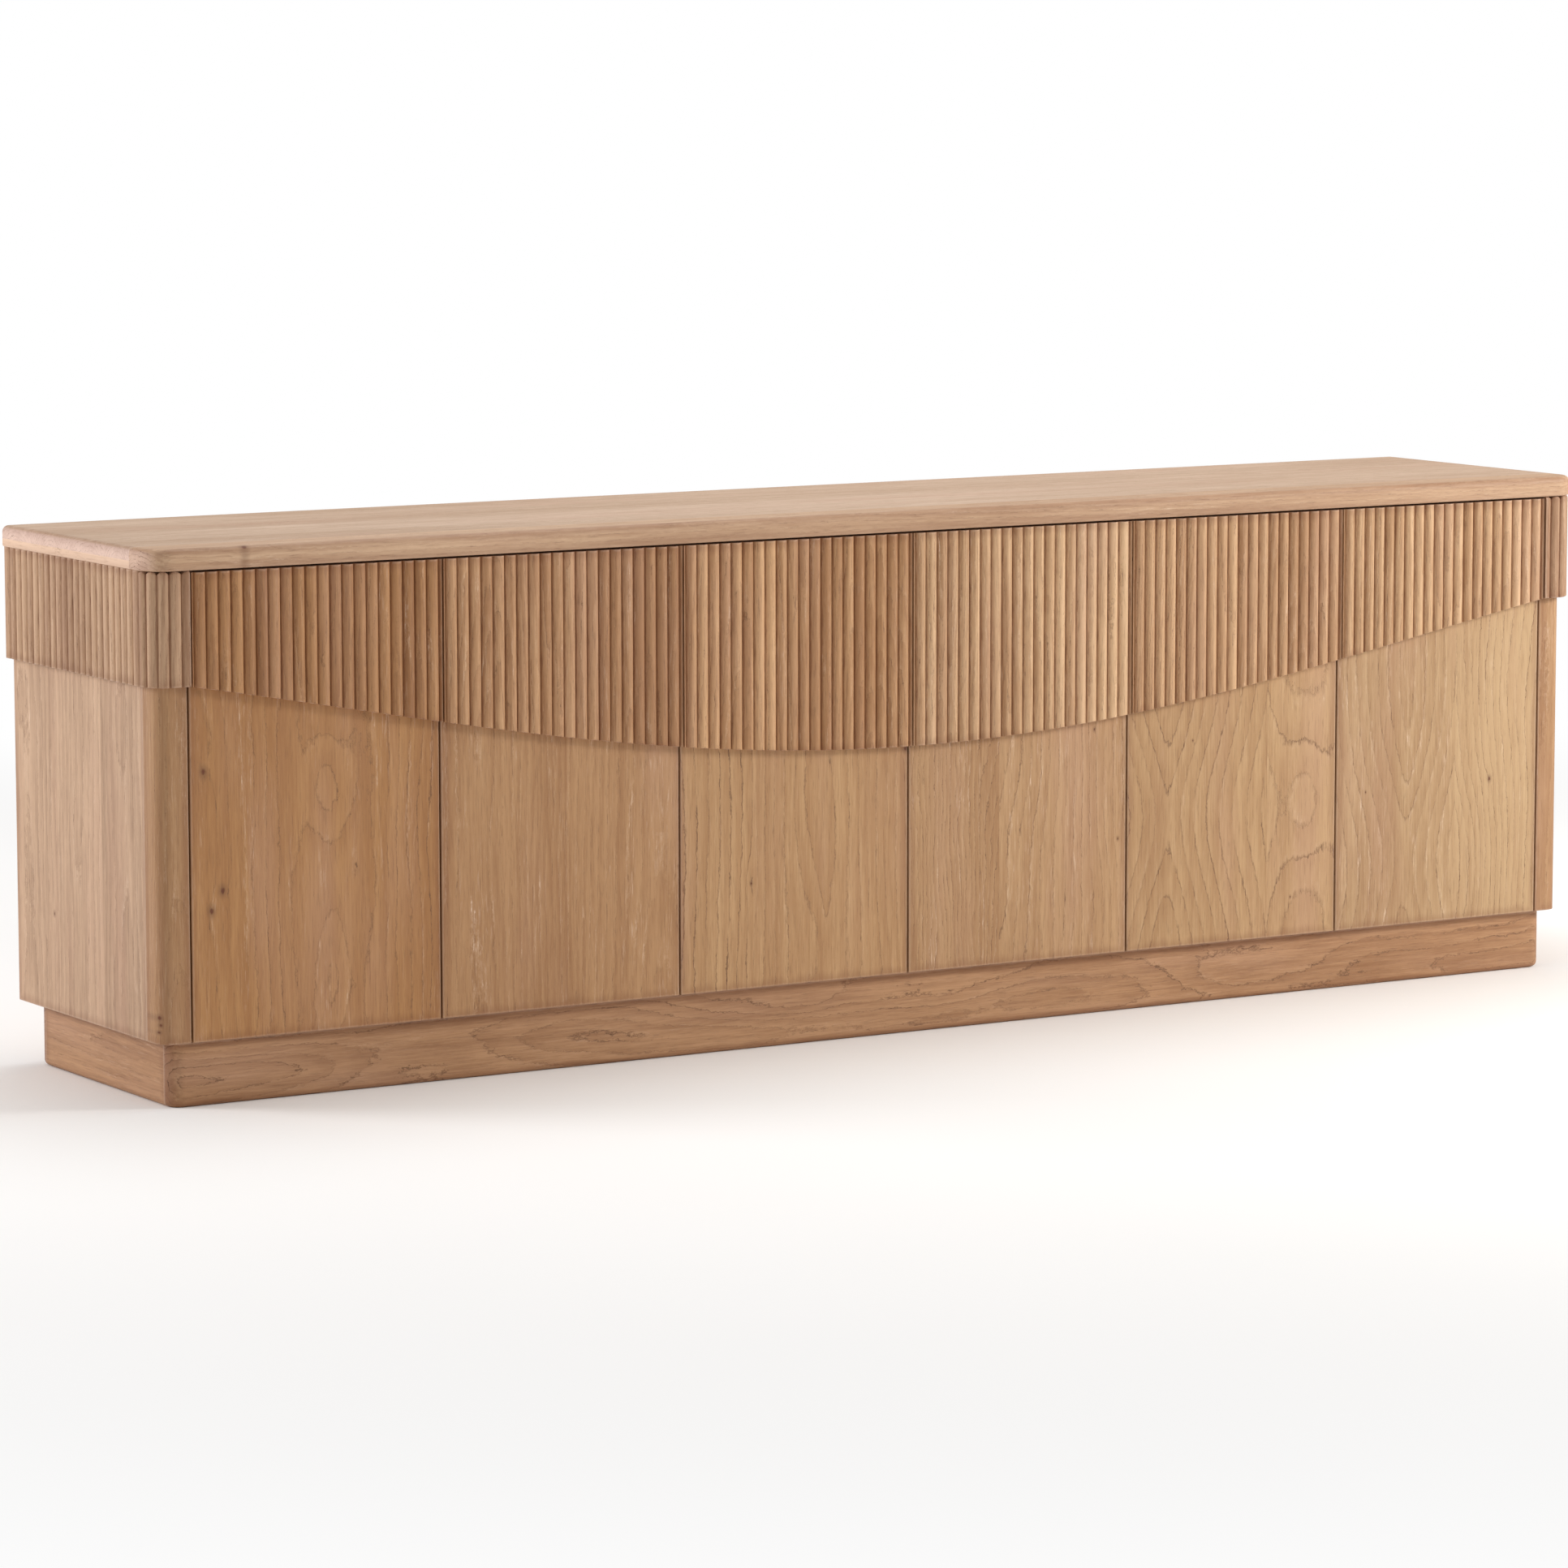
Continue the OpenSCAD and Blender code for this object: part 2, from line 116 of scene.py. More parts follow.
# %% [markdown]
# ## Sums that build nodes
# Shaders and Geometry Nodes are webs of small nodes. Written out one by one they are hard to
# read, so a wire is wrapped in a class whose sums add Math nodes: `1 - mask * 0.5` is two nodes.
# Every other node comes from one method, which takes its type, its settings and its inputs.

# %% Wires and webs
class Wire:
    """An output socket that joins in Python sums."""

    def __init__(self, web, socket):
        self.web = web
        self.socket = socket

    def out(self, name):
        return Wire(self.web, self.socket.node.outputs[name])

    def __add__(self, other):
        return self.web.math("ADD", self, other)

    def __sub__(self, other):
        return self.web.math("SUBTRACT", self, other)

    def __rsub__(self, other):
        return self.web.math("SUBTRACT", other, self)

    def __mul__(self, other):
        return self.web.math("MULTIPLY", self, other)

    def __truediv__(self, other):
        return self.web.math("DIVIDE", self, other)

    __radd__ = __add__
    __rmul__ = __mul__


class Web:
    """A node tree, and the ways in which this lesson adds to it."""

    def __init__(self, tree):
        self.tree = tree

    def node(self, kind, settings=None, inputs=None):
        made = self.tree.nodes.new(kind)
        for name, value in (settings or {}).items():
            setattr(made, name, value)
        pairs = inputs.items() if isinstance(inputs, dict) else enumerate(inputs or [])
        for key, value in pairs:
            if isinstance(value, Wire):
                self.tree.links.new(value.socket, made.inputs[key])
            elif value is not None:
                made.inputs[key].default_value = value
        return Wire(self, made.outputs[0]) if len(made.outputs) else made

    def math(self, operation, *inputs):
        return self.node("ShaderNodeMath", {"operation": operation}, inputs)

    def split(self, vector):
        parts = self.node("ShaderNodeSeparateXYZ", inputs=[vector])
        return [parts.out(axis) for axis in "XYZ"]

    def join(self, x, y, z):
        return self.node("ShaderNodeCombineXYZ", inputs=[x, y, z])


def blank(data):
    """The emptied node tree of a new material or world."""
    data.use_nodes = True
    data.node_tree.nodes.clear()
    return data.node_tree


print("a sum on wires adds Math nodes")

# %% [markdown]
# ## Textures in a wood's own directions
# Wood is the same solid all through a board, and its face shows a cut through it. So a pattern
# takes a place in space. A noise stretched along the grain gives streaks, and a smooth step turns
# any noise into marks with soft edges.

# %% Texture helpers
def noise(web, place, stretch, detail=2.0, roughness=0.5):
    """Noise from 0 to 1; stretch is how many features fit in a metre, in each direction."""
    scaled = web.node("ShaderNodeVectorMath", {"operation": "MULTIPLY"}, [place, stretch])
    return web.node("ShaderNodeTexNoise", {"noise_dimensions": "3D"},
                    {"Vector": scaled, "Scale": 1.0, "Detail": detail, "Roughness": roughness})


def chance(web, number):
    """A random value from 0 to 1 for each whole number."""
    return web.node("ShaderNodeTexWhiteNoise", {"noise_dimensions": "1D"}, {"W": number})


def step(web, value, start, end):
    """0 below start and 1 above end, or the other way round where start is above end."""
    return web.node("ShaderNodeMapRange", {"interpolation_type": "SMOOTHSTEP"},
                    {"Value": value, "From Min": start, "From Max": end})


def tint(web, factor, under, over):
    """Colour `over` laid on colour `under` by a factor."""
    mixed = web.node("ShaderNodeMix", {"data_type": "RGBA", "clamp_factor": True},
                     {0: factor, 6: under, 7: over})
    return Wire(web, mixed.socket.node.outputs[2])


def rgb(red, green, blue):
    """A colour given as a painter sees it, from 0 to 255, turned into the light it reflects."""
    return tuple((c / 255) ** 2.2 for c in (red, green, blue)) + (1.0,)


def cast(colour, shade):
    """A colour with its red, green and blue each multiplied by a shade."""
    return tuple(part * factor for part, factor in zip(colour, shade + (1.0,)))


print("texture helpers ready")

# %% [markdown]
# ## Boards and their rings
# A tree grows a ring a year: pale wood, then a thin band of open pores. The rings are circles
# round the tree's heart, and a board cuts them at a slant, so they show as arches and long lines.
# A board only says where its heart lies: how far across, how deep, and how it leans.

# %% Boards of one piece
AXES = {"x": 0, "y": 1, "z": 2}
OAK_DEEP = rgb(158, 117, 80)
OAK_PALE = rgb(190, 152, 112)
RING_BROWN = rgb(104, 72, 50)
LIME = rgb(230, 204, 182)
ROSE = rgb(184, 143, 118)
KNOT_BROWN = rgb(98, 50, 27)
# Painted shade: the brown laid in the valleys between the reeds and where faces meet at the edges
SHADE_BROWN = rgb(116, 66, 40)
END_PALE = rgb(206, 172, 152)


@dataclass(eq=False)
class Board:
    """One board of a glued-up piece: where it begins, and how the tree's rings lie in it."""

    start: float
    heart: float
    depth: float
    lean: float
    ring: float = 0.011
    bend: float = 0.018
    dark: float = 0.55
    lime: float = 0.35
    tone: float = 0.0


print("a board has", len(vars(Board(0, 0, 0, 0))), "values of its own")

# %% [markdown]
# ## A point's place in the wood
# Every pattern of the oak starts from the same few wires: how far a point is along the grain,
# across the boards and into them, and which board it is on. A class keeps them together. Each
# board is shifted along by a random length, so that no two show the same stretch of wood.

# %% Place in the wood
# How fine each noise is: features in a metre along the grain and across it, detail, roughness
GRAIN = {"wander": (1.6, 5.0, 2.0, 0.5), "sway": (5.0, 17.0, 2.0, 0.5),
         "ragged": (65.0, 330.0, 2.0, 0.6), "jag": (70.0, 130.0, 3.0, 0.7),
         "dashes": (34.0, 480.0, 3.0, 0.65), "breaks": (12.0, 90.0, 3.0, 0.5),
         "limed": (5.0, 60.0, 3.0, 0.6), "rosy": (2.0, 12.0, 2.0, 0.5),
         "cloud": (1.3, 7.0, 2.0, 0.5), "streak": (2.2, 55.0, 3.0, 0.6),
         "fibre": (14.0, 300.0, 3.0, 0.7)}
BOARD_SHIFT = 9.7
REED_SHIFT = 0.03


class Wood(Web):
    """The web of one oak material, with a point's place along, across and into the wood."""

    def __init__(self, tree, along, across, into, box, boards, seed, reeds):
        super().__init__(tree)
        self.boards = boards
        self.low, self.high = box
        self.face = self.low[AXES[into]]
        self.middle = (self.low[AXES[along]] + self.high[AXES[along]]) / 2
        coordinates = self.node("ShaderNodeTexCoord")
        self.axes = self.split(coordinates.out("Object"))
        self.along, self.across, self.into = (self.axes[AXES[letter]] for letter in (along, across, into))
        facing = self.split(coordinates.out("Normal"))[AXES[along]]
        self.end = step(self, self.math("ABSOLUTE", facing), 0.55, 0.9)
        self.past = [self.math("GREATER_THAN", self.across, board.start) for board in boards[1:]]
        self.number = self.own(lambda board: float(boards.index(board)))
        self.lot = chance(self, self.number + seed * 7.31)
        shift = self.lot * BOARD_SHIFT
        self.reed_lot = None
        if reeds:
            self.reed_lot = chance(self, self.stored("reed") + seed * 3.7)
            shift = shift + self.reed_lot * REED_SHIFT
        self.place = self.join(self.along + shift, self.across, self.into)
        self.ragged = self.grain("ragged") - 0.5
        self.dashes, self.streak, self.fibre = (self.grain(name) for name in ("dashes", "streak", "fibre"))

    def own(self, value):
        """A value of the board that a point is on, or a plain number where all boards agree."""
        values = [value(board) for board in self.boards]
        total = values[0]
        for past, before, after in zip(self.past, values, values[1:]):
            if after != before:
                total = total + past * (after - before)
        return total

    def stored(self, name):
        """A number that Geometry Nodes stored on the mesh."""
        return self.node("ShaderNodeAttribute", {"attribute_name": name}).out("Fac")

    def grain(self, name):
        """One of the noises, drawn out along the grain."""
        along, across, detail, roughness = GRAIN[name]
        return noise(self, self.place, (along, across, across), detail, roughness)


print(len(GRAIN), "noises drawn out along the grain")

# %% [markdown]
# ## Rings
# The distance from the heart, divided by the width of a ring, counts the rings: its whole part is
# the ring and its fraction is the place in it. Swells push the rings outwards at chosen places,
# which makes ovals, points and arches. A knot is a swell too, because the rings flow round it.

# %% Rings
KNOT_LENGTH = 7.0
KNOT_BREADTH = 3.4
KNOT_LIFT = 1.6


def rings(wood, knots, swells):
    """How far through its ring a point is, from 0 to 1, and a random value for each ring."""
    wander = wood.grain("wander") - 0.5
    sway = wood.grain("sway") - 0.5
    jag = wood.grain("jag") - 0.5
    u = wood.across - wood.own(lambda board: board.heart) + wander * wood.own(lambda board: board.bend * 3.0)
    v = wood.own(lambda board: board.depth) + (wood.into - wood.face)
    v = v + (wood.along - wood.middle) * wood.own(lambda board: board.lean)
    v = v + wander * wood.own(lambda board: board.bend * 4.0)
    radius = wood.math("SQRT", u * u + v * v) + sway * wood.own(lambda board: board.bend * 0.9)
    round_knots = [(along, across, size * KNOT_LENGTH, size * KNOT_BREADTH, size * KNOT_LIFT)
                   for along, across, size in knots]
    for along, across, length, breadth, lift in list(swells) + round_knots:
        du = (wood.along - along) / length
        dv = (wood.across - across) / breadth
        radius = radius + wood.math("EXPONENT", (du * du + dv * dv) * -1.0) * lift
    turns = (radius + jag * 0.0075) / wood.own(lambda board: board.ring) + wood.ragged * 0.2
    return wood.math("FRACT", turns), chance(wood, wood.math("FLOOR", turns) + wood.number * 13.0)


print("ring helper ready")

# %% [markdown]
# ## Pores and lime
# Each ring begins with a band of open pores, which show as short dark dashes. The finish is
# brushed and limed, so a little white stays in the pores and beside the bands.

# %% Pores and lime
def pore_bands(wood, turn, ring_lot):
    """The pore band of each ring, the single pores, and the lime that they hold, all 0 to 1."""
    pores = step(wood, wood.dashes, 0.53, 0.70)
    limed_pores = step(wood, wood.dashes, 0.46, 0.32)
    strong = 0.4 + ring_lot * 0.6
    broken = step(wood, wood.grain("breaks"), 0.28, 0.52) * (0.55 + pores * 0.45)
    band_edges = step(wood, turn, 0.12, 0.0) + step(wood, turn, 0.98, 1.0)
    band = band_edges * strong * broken * (1 + wood.end * 2.5)
    limed = step(wood, wood.grain("limed"), 0.44, 0.68)
    beside = step(wood, turn, 0.08, 0.13) * step(wood, turn, 0.26, 0.15)
    lime = limed_pores * 0.34 + beside * (0.14 + limed_pores * 0.36)
    return band, pores, lime * limed * wood.own(lambda board: board.lime)


print("pore helper ready")

# %% [markdown]
# ## Colour, knots and edges
# The colour drifts slowly over a board, with finer streaks and fibres in it, and each board and
# each reed has its own tone. Over that lie the bands, the pores and the lime. Painted shade darkens
# the valleys between the reeds and the edges where faces meet, and the edges are a little paler:
# wear, with a painted highlight where the rounded edges catch the light.

# %% Colour, knots and edges
def timber(wood, turn, marks, deep, pale, end_pale):
    """The colour of the wood with its rings, pores and lime."""
    band, pores, lime = marks
    tone = wood.grain("cloud") * 0.8 + wood.streak * 0.6 + wood.fibre * 0.9 - 0.65 + (wood.lot - 0.5) * 0.25
    tone = tone + wood.own(lambda board: board.tone) - step(wood, turn, 0.25, 0.95) * 0.15
    if wood.reed_lot:
        tone = tone + (wood.reed_lot - 0.5) * 0.4
    colour = tint(wood, step(wood, tone, 0.0, 1.0), deep, pale)
    colour = tint(wood, step(wood, wood.grain("rosy"), 0.45, 0.8) * 0.35, colour, ROSE)
    colour = tint(wood, wood.end * 0.7, colour, end_pale)
    colour = tint(wood, band * wood.own(lambda board: board.dark * 1.5), colour, RING_BROWN)
    pore_depth = 0.32 if wood.reed_lot else 0.24
    colour = tint(wood, pores * (pore_depth + band * 0.5), colour, RING_BROWN)
    colour = tint(wood, lime, colour, LIME)
    if wood.reed_lot:
        # Painted shade in the valleys between the reeds
        valley_shade = step(wood, wood.stored("valley") + (wood.dashes - 0.5) * 0.5, 0.72, 1.0)
        colour = tint(wood, valley_shade * 0.5, colour, SHADE_BROWN)
    return colour


def knot_marks(wood, knots, colour):
    """Each knot is a dark eye in a brown halo."""
    for along, across, size in knots:
        du = (wood.along - along) / (size * 1.5)
        dv = (wood.across - across) / size
        far = wood.math("SQRT", du * du + dv * dv) + wood.ragged * 0.9
        colour = tint(wood, step(wood, far, 2.6, 0.6) * 0.45, colour, RING_BROWN)
        colour = tint(wood, step(wood, far, 1.0, 0.35) * 0.9, colour, KNOT_BROWN)
    return colour


def edge_shade_and_wear(wood, colour):
    """Painted shade along the edges, where faces meet, and paler wear with a painted highlight on them; an
    edge is where two faces of the box are near.
    """
    near = [wood.math("MINIMUM", axis - low, high - axis)
            for axis, low, high in zip(wood.axes, wood.low, wood.high)]
    inner = wood.math("MAXIMUM", near[0], near[1])
    outer = wood.math("MINIMUM", near[0], near[1])
    edge = wood.math("MAXIMUM", outer, wood.math("MINIMUM", inner, near[2]))
    # Paler close to an edge: wear, and a painted highlight where the rounded edge catches the light
    wear_and_highlight = step(wood, edge + wood.ragged * 0.004, 0.0035, 0.0006)
    # Darker further in from the edge: painted shade where faces meet
    edge_shade = step(wood, edge + (wood.streak - 0.5) * 0.02, 0.016, 0.002)
    colour = tint(wood, edge_shade * 0.28, colour, SHADE_BROWN)
    return tint(wood, wear_and_highlight * 0.14, colour, LIME), wear_and_highlight


print("colour helpers ready")

# %% [markdown]
# ## Limed oak
# One function puts the steps together into a material. The marks that give the colour also give
# the relief and the roughness: pores are sunk and dull, and worn edges are smoother.

# %% Limed oak
RELIEF = 0.45 * MM


def oak(name, along, across, into, box, boards, seed, knots=(), swells=(), reeds=False,
        deep=OAK_DEEP, pale=OAK_PALE, end_pale=END_PALE):
    """Limed oak for one piece: axis names, the piece's box, its boards, its knots and its swells.

    A knot is where it lies along and across, and its size. A swell is a place where the rings
    bulge: where along and across, how long, how broad, and how far.
    """
    material = bpy.data.materials.new(name)
    wood = Wood(blank(material), along, across, into, box, boards, seed, reeds)
    turn, ring_lot = rings(wood, knots, swells)
    marks = pore_bands(wood, turn, ring_lot)
    colour = knot_marks(wood, knots, timber(wood, turn, marks, deep, pale, end_pale))
    colour, wear_and_highlight = edge_shade_and_wear(wood, colour)
    band, pores, _ = marks
    height = wood.fibre * 0.35 - pores * 0.55 - band * 0.6 + wood.streak * 0.25
    bump = wood.node("ShaderNodeBump", inputs={"Strength": 0.55, "Distance": RELIEF, "Height": height})
    shader = wood.node("ShaderNodeBsdfPrincipled",
                       inputs={"Base Color": colour, "Normal": bump, "Specular IOR Level": 0.42,
                               "Roughness": 0.50 + wood.fibre * 0.16 + band * 0.12 - wear_and_highlight * 0.08})
    wood.node("ShaderNodeOutputMaterial", inputs=[shader])
    return material


print("oak ready")

# %% [markdown]
# ## Eased edges
# A board's edges are never knife-sharp: they are sanded round. A Bevel modifier could do it, but
# the slab, posts and plinth have different radii on different edges. So a board is an outline
# that is repeated at every level of its edge profile and pulled in where the edge rounds over.

# %% Outlines and profiles
def corner_points(x, y, out_x, out_y, radius, start, steps=8):
    """Points of one rounded corner, each with its outward direction; a square corner is one."""
    if radius == 0:
        return [(x, y, out_x, out_y)]
    points = []
    for k in range(steps + 1):
        angle = math.radians(start + 90 * k / steps)
        dx, dy = math.cos(angle), math.sin(angle)
        points.append((x - out_x * radius + radius * dx, y - out_y * radius + radius * dy, dx, dy))
    return points


def outline(x0, y0, x1, y1, radii, soft=(1, 1, 1, 1)):
    """A rectangle, corner by corner; soft says if its left, front, right and back are eased."""
    left, front, right, back = soft
    corners = [(x0, y0, -left, -front, 180), (x1, y0, right, -front, 270),
               (x1, y1, right, back, 0), (x0, y1, -left, back, 90)]
    return [point for (x, y, ox, oy, start), r in zip(corners, radii)
            for point in corner_points(x, y, ox, oy, r, start)]


def profile(z0, z1, low_r, high_r, steps=6):
    """Levels of an edge from z0 to z1, each with how far the outline is pulled in there."""
    turns = [math.radians(90 * k / steps) for k in range(steps + 1)]
    low = [(low_r * (1 - math.sin(t)), z0 + low_r * (1 - math.cos(t))) for t in turns]
    high = [(high_r * (1 - math.cos(t)), z1 - high_r * (1 - math.sin(t))) for t in turns]
    return (low if low_r else [(0, z0)]) + (high if high_r else [(0, z1)])

print("a board's edge has", len(profile(0, 1, 0.1, 0.1)), "levels")

# %% [markdown]
# ## Boards from outlines
# Each level of the profile is one ring of corners, and faces join it to the next. Merging
# doubles removes the corners that fall together. The left half of the cabinet mirrors the right,
# and a mirrored mesh has its faces turned round.

# %% Boards
def kept_mesh(name, bm):
    """A mesh made from finished bmesh work, which is then freed."""
    mesh = bpy.data.meshes.new(name)
    bm.to_mesh(mesh)
    bm.free()
    return mesh


def upright(u, v, level):
    return (u, v, level)


def facing_front(u, v, level):
    return (u, level, v)


def solid(name, points, levels, place=upright):
    """A closed board from an outline and an edge profile."""
    bm = bmesh.new()
    rings = [[bm.verts.new(place(x - dx * inset, y - dy * inset, level)) for x, y, dx, dy in points]
             for inset, level in levels]
    count = len(points)
    for low, high in zip(rings, rings[1:]):
        for k in range(count):
            bm.faces.new((low[k], low[(k + 1) % count], high[(k + 1) % count], high[k]))
    bm.faces.new(reversed(rings[0]))
    bm.faces.new(rings[-1])
    bmesh.ops.remove_doubles(bm, verts=bm.verts, dist=1e-6)
    bmesh.ops.recalc_face_normals(bm, faces=bm.faces)
    return linked(name, kept_mesh(name, bm))


def lying(name, lo, hi, radii, soft, low_r, high_r=0):
    """A board that fills a box, from its corner radii and its lower and upper roundings."""
    return solid(name, outline(lo.x, lo.y, hi.x, hi.y, radii, soft), profile(lo.z, hi.z, low_r, high_r))


def mirrored(piece, name):
    """The same board on the other side of the cabinet, with its faces turned outwards again."""
    bm = bmesh.new()
    bm.from_mesh(piece.data)
    for vertex in bm.verts:
        vertex.co.x = -vertex.co.x
    bmesh.ops.reverse_faces(bm, faces=bm.faces)
    copy = piece.copy()
    copy.name = name
    copy.data = kept_mesh(name, bm)
    bpy.context.scene.collection.objects.link(copy)
    return copy


print("board tools ready")

# %% [markdown]
# ## Finishing a piece
# All but a piece's sharp edges are shaded smooth, and weighted normals keep its broad faces flat.
# It then rides on a body, and stands for the plainer parts of the frame that it replaces.

# %% Finishing a piece
SHARP_ANGLE = math.radians(32)


def apply_modifiers(piece):
    """Makes the result of a piece's modifiers its own plain mesh."""
    bpy.context.view_layer.update()
    evaluated = piece.evaluated_get(bpy.context.evaluated_depsgraph_get())
    piece.data = bpy.data.meshes.new_from_object(evaluated)
    piece.modifiers.clear()


def settle(piece):
    """Smooths all but the sharp edges of a piece."""
    for polygon in piece.data.polygons:
        polygon.use_smooth = True
    piece.data.set_sharp_from_angle(angle=SHARP_ANGLE)
    weights = piece.modifiers.new("weights", "WEIGHTED_NORMAL")
    weights.keep_sharp = True
    apply_modifiers(piece)


def fit(piece, body, slot, material, *stands_for):
    """Gives a piece its material, its body and the nodes it stands for; the slot is not used."""
    settle(piece)
    piece.data.materials.clear()
    piece.data.materials.append(material)
    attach(piece, body)
    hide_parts(*stands_for)


print("finishing tools ready")

# %% [markdown]
# ## The slab
# The top is a panel of edge-glued boards with a solid nosing along its front and thin strips
# under its ends and back, which make it look thick. The nosing runs round both front corners,
# and behind it the ends of the panel's boards show their end grain.

# %% Slab
X1 = nose_hi.x
GLUE_Y = nose_hi.y
SLAB_Z0 = nose_lo.z
SLAB_Z1 = nose_hi.z
STRIP_Z = strip_hi.z
BACK_Y = strip_hi.y
STRIP_X = strip_lo.x
slab_box = (Vector((-X1, nose_lo.y, SLAB_Z0)), Vector((X1, BACK_Y, SLAB_Z1)))

nosing = lying("slab_nosing", nose_lo, nose_hi, (TOP_CORNER, TOP_CORNER, 0, 0), (1, 1, 1, 0),
               UNDER_ROUND, TOP_ROUND)
panel = solid("slab_panel",
              outline(-X1, GLUE_Y, X1, BACK_Y, (0, 0, TOP_BACK_CORNER, TOP_BACK_CORNER), (1, 0, 1, 1)),
              profile(STRIP_Z, SLAB_Z1, 0, TOP_ROUND))
strip_right = solid("slab_strip_right",
                    outline(STRIP_X, GLUE_Y, X1, BACK_Y, (0, 0, TOP_BACK_CORNER, 0), (0, 0, 1, 1)),
                    profile(SLAB_Z0, STRIP_Z, UNDER_ROUND, 0))
strip_left = mirrored(strip_right, "slab_strip_left")
strip_front_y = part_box("top_strip_back")[0].y
strip_back = solid("slab_strip_back",
                   outline(-STRIP_X, strip_front_y, STRIP_X, BACK_Y, (0, 0, 0, 0), (0, 0, 0, 1)),
                   profile(SLAB_Z0, STRIP_Z, UNDER_ROUND, 0))

print("slab is", round((SLAB_Z1 - SLAB_Z0) * 1000), "mm thick")

# %% [markdown]
# ## The slab's oak
# The slab's boards are calmer than the doors: close rings with little contrast. Its colours are paler
# and cooler, partly its own oak and partly painted sheen and the light that falls on the top. The
# strips under its ends run from front to back, so the ends show their long grain.

# %% Oak of the slab
# Paler and cooler than the doors' oak: partly the slab's own wood, partly painted sheen and top light
SLAB_DEEP_SHEEN = rgb(174, 142, 114)
SLAB_PALE_SHEEN = rgb(208, 180, 156)
NOSING_DEEP = rgb(174, 137, 106)
NOSING_PALE = rgb(208, 174, 142)
STRIP_PALE = rgb(226, 192, 164)
SLAB_END = rgb(222, 190, 176)
slab_boards = [Board(GLUE_Y, -0.14, 0.03, 0.02, 0.0058), Board(-0.10, -0.05, 0.02, -0.015, 0.0064),
               Board(0.02, 0.07, 0.035, 0.02, 0.0056), Board(0.13, 0.19, 0.025, -0.02, 0.0060)]
for board in slab_boards:
    board.dark, board.lime, board.bend = 0.2, 0.3, 0.008
slab_sheen_finish = {"deep": SLAB_DEEP_SHEEN, "pale": SLAB_PALE_SHEEN, "end_pale": SLAB_END}
nosing_finish = {"deep": NOSING_DEEP, "pale": NOSING_PALE}
oak_nosing = oak("oak_nosing", "x", "y", "z", slab_box,
                 [Board(0, -0.20, 0.05, 0.015, 0.006, 0.010, 0.35, 0.7)], 3, [(-1.075, -0.238, 0.003)],
                 **nosing_finish)
oak_panel = oak("oak_slab_panel", "x", "y", "z", slab_box, slab_boards, 4, **slab_sheen_finish)
oak_strip = oak("oak_slab_strip", "y", "x", "z", slab_box,
                [Board(0, 1.0, 0.3, 0.01, 0.006, 0.01, 0.25, 0.5, 0.5)], 5,
                deep=SLAB_DEEP_SHEEN, pale=STRIP_PALE)
oak_strip_back = oak("oak_slab_strip_back", "x", "y", "z", slab_box, [Board(0, 0.2, 0.1, 0.01, 0.008)], 6,
                     **slab_sheen_finish)
fit(nosing, "case", "oak_top", oak_nosing, "top_nosing")
fit(panel, "case", "oak_top", oak_panel, "top_panel")
fit(strip_right, "case", "oak_strip", oak_strip, "top_strip_right")
fit(strip_left, "case", "oak_strip", oak_strip, "top_strip_left")
fit(strip_back, "case", "oak_top", oak_strip_back, "top_strip_back")
print(len(slab_boards), "boards in the slab's panel")

# %% [markdown]
# ## Drilled holes
# A drilled hole is the one shape that is simplest to cut. A Boolean modifier takes a tool's
# shape out of a piece: here a set of round rods, one for each hole.

# %% Drilling
def carve(piece, tool, crosses_itself=False):
    """Cuts a tool's shape out of a piece, and removes the tool."""
    cut = piece.modifiers.new("cut", "BOOLEAN")
    cut.operation = "DIFFERENCE"
    cut.solver = "EXACT"
    cut.use_self = crosses_itself
    cut.object = tool
    apply_modifiers(piece)
    bpy.data.objects.remove(tool)


def drill(piece, holes, axis, radius, length, steps=24):
    """Cuts round holes into a piece, each centred on one of the given points."""
    bm = bmesh.new()
    rod = Vector(axis).to_track_quat("Z", "Y").to_matrix().to_4x4()
    for centre in holes:
        rod.translation = Vector(centre)
        bmesh.ops.create_cone(bm, cap_ends=True, segments=steps, radius1=radius, radius2=radius,
                              depth=length, matrix=rod)
    carve(piece, linked("drill", kept_mesh("drill", bm)))


print("drill ready")

# %% [markdown]
# ## Posts and sides
# The case's front corners are rounded posts and its ends are broad boards. Two columns of
# shelf-pin holes are drilled into the inner face of each end.

# %% Posts and sides
CASE_CORNER = 21.5 * MM
PIN_HOLE = 2.6 * MM
PIN_DEPTH = 8 * MM
PIN_STEP = 32 * MM
SHELF_PIN_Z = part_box("shelf_pins")[0].z + 2.5 * MM
PIN_YS = (-0.060, 0.190)
SIDE_DEEP = rgb(140, 107, 80)
SIDE_PALE = rgb(195, 161, 131)
post = lying("post_right", post_lo, post_hi, (EASING, CASE_CORNER, 0, 0), (1, 1, 1, 0), EASING)
side = lying("side_right", side_lo, side_hi, (0, 0, EASING, EASING), (1, 0, 1, 1), EASING)
drill(side, [(side_lo.x, y, SHELF_PIN_Z + k * PIN_STEP) for y in PIN_YS for k in range(-2, 3)],
      (1, 0, 0), PIN_HOLE, 2 * PIN_DEPTH)
side_boards = [Board(side_lo.y, -0.12, 0.03, 0.05, 0.014, 0.02, 0.45, 0.6, 0.15),
               Board(-0.045, 0.02, 0.03, -0.03, 0.013, 0.02, 0.40, 0.6, 0.25),
               Board(0.10, 0.20, 0.05, 0.02, 0.012, 0.02, 0.45, 0.6, 0.1)]
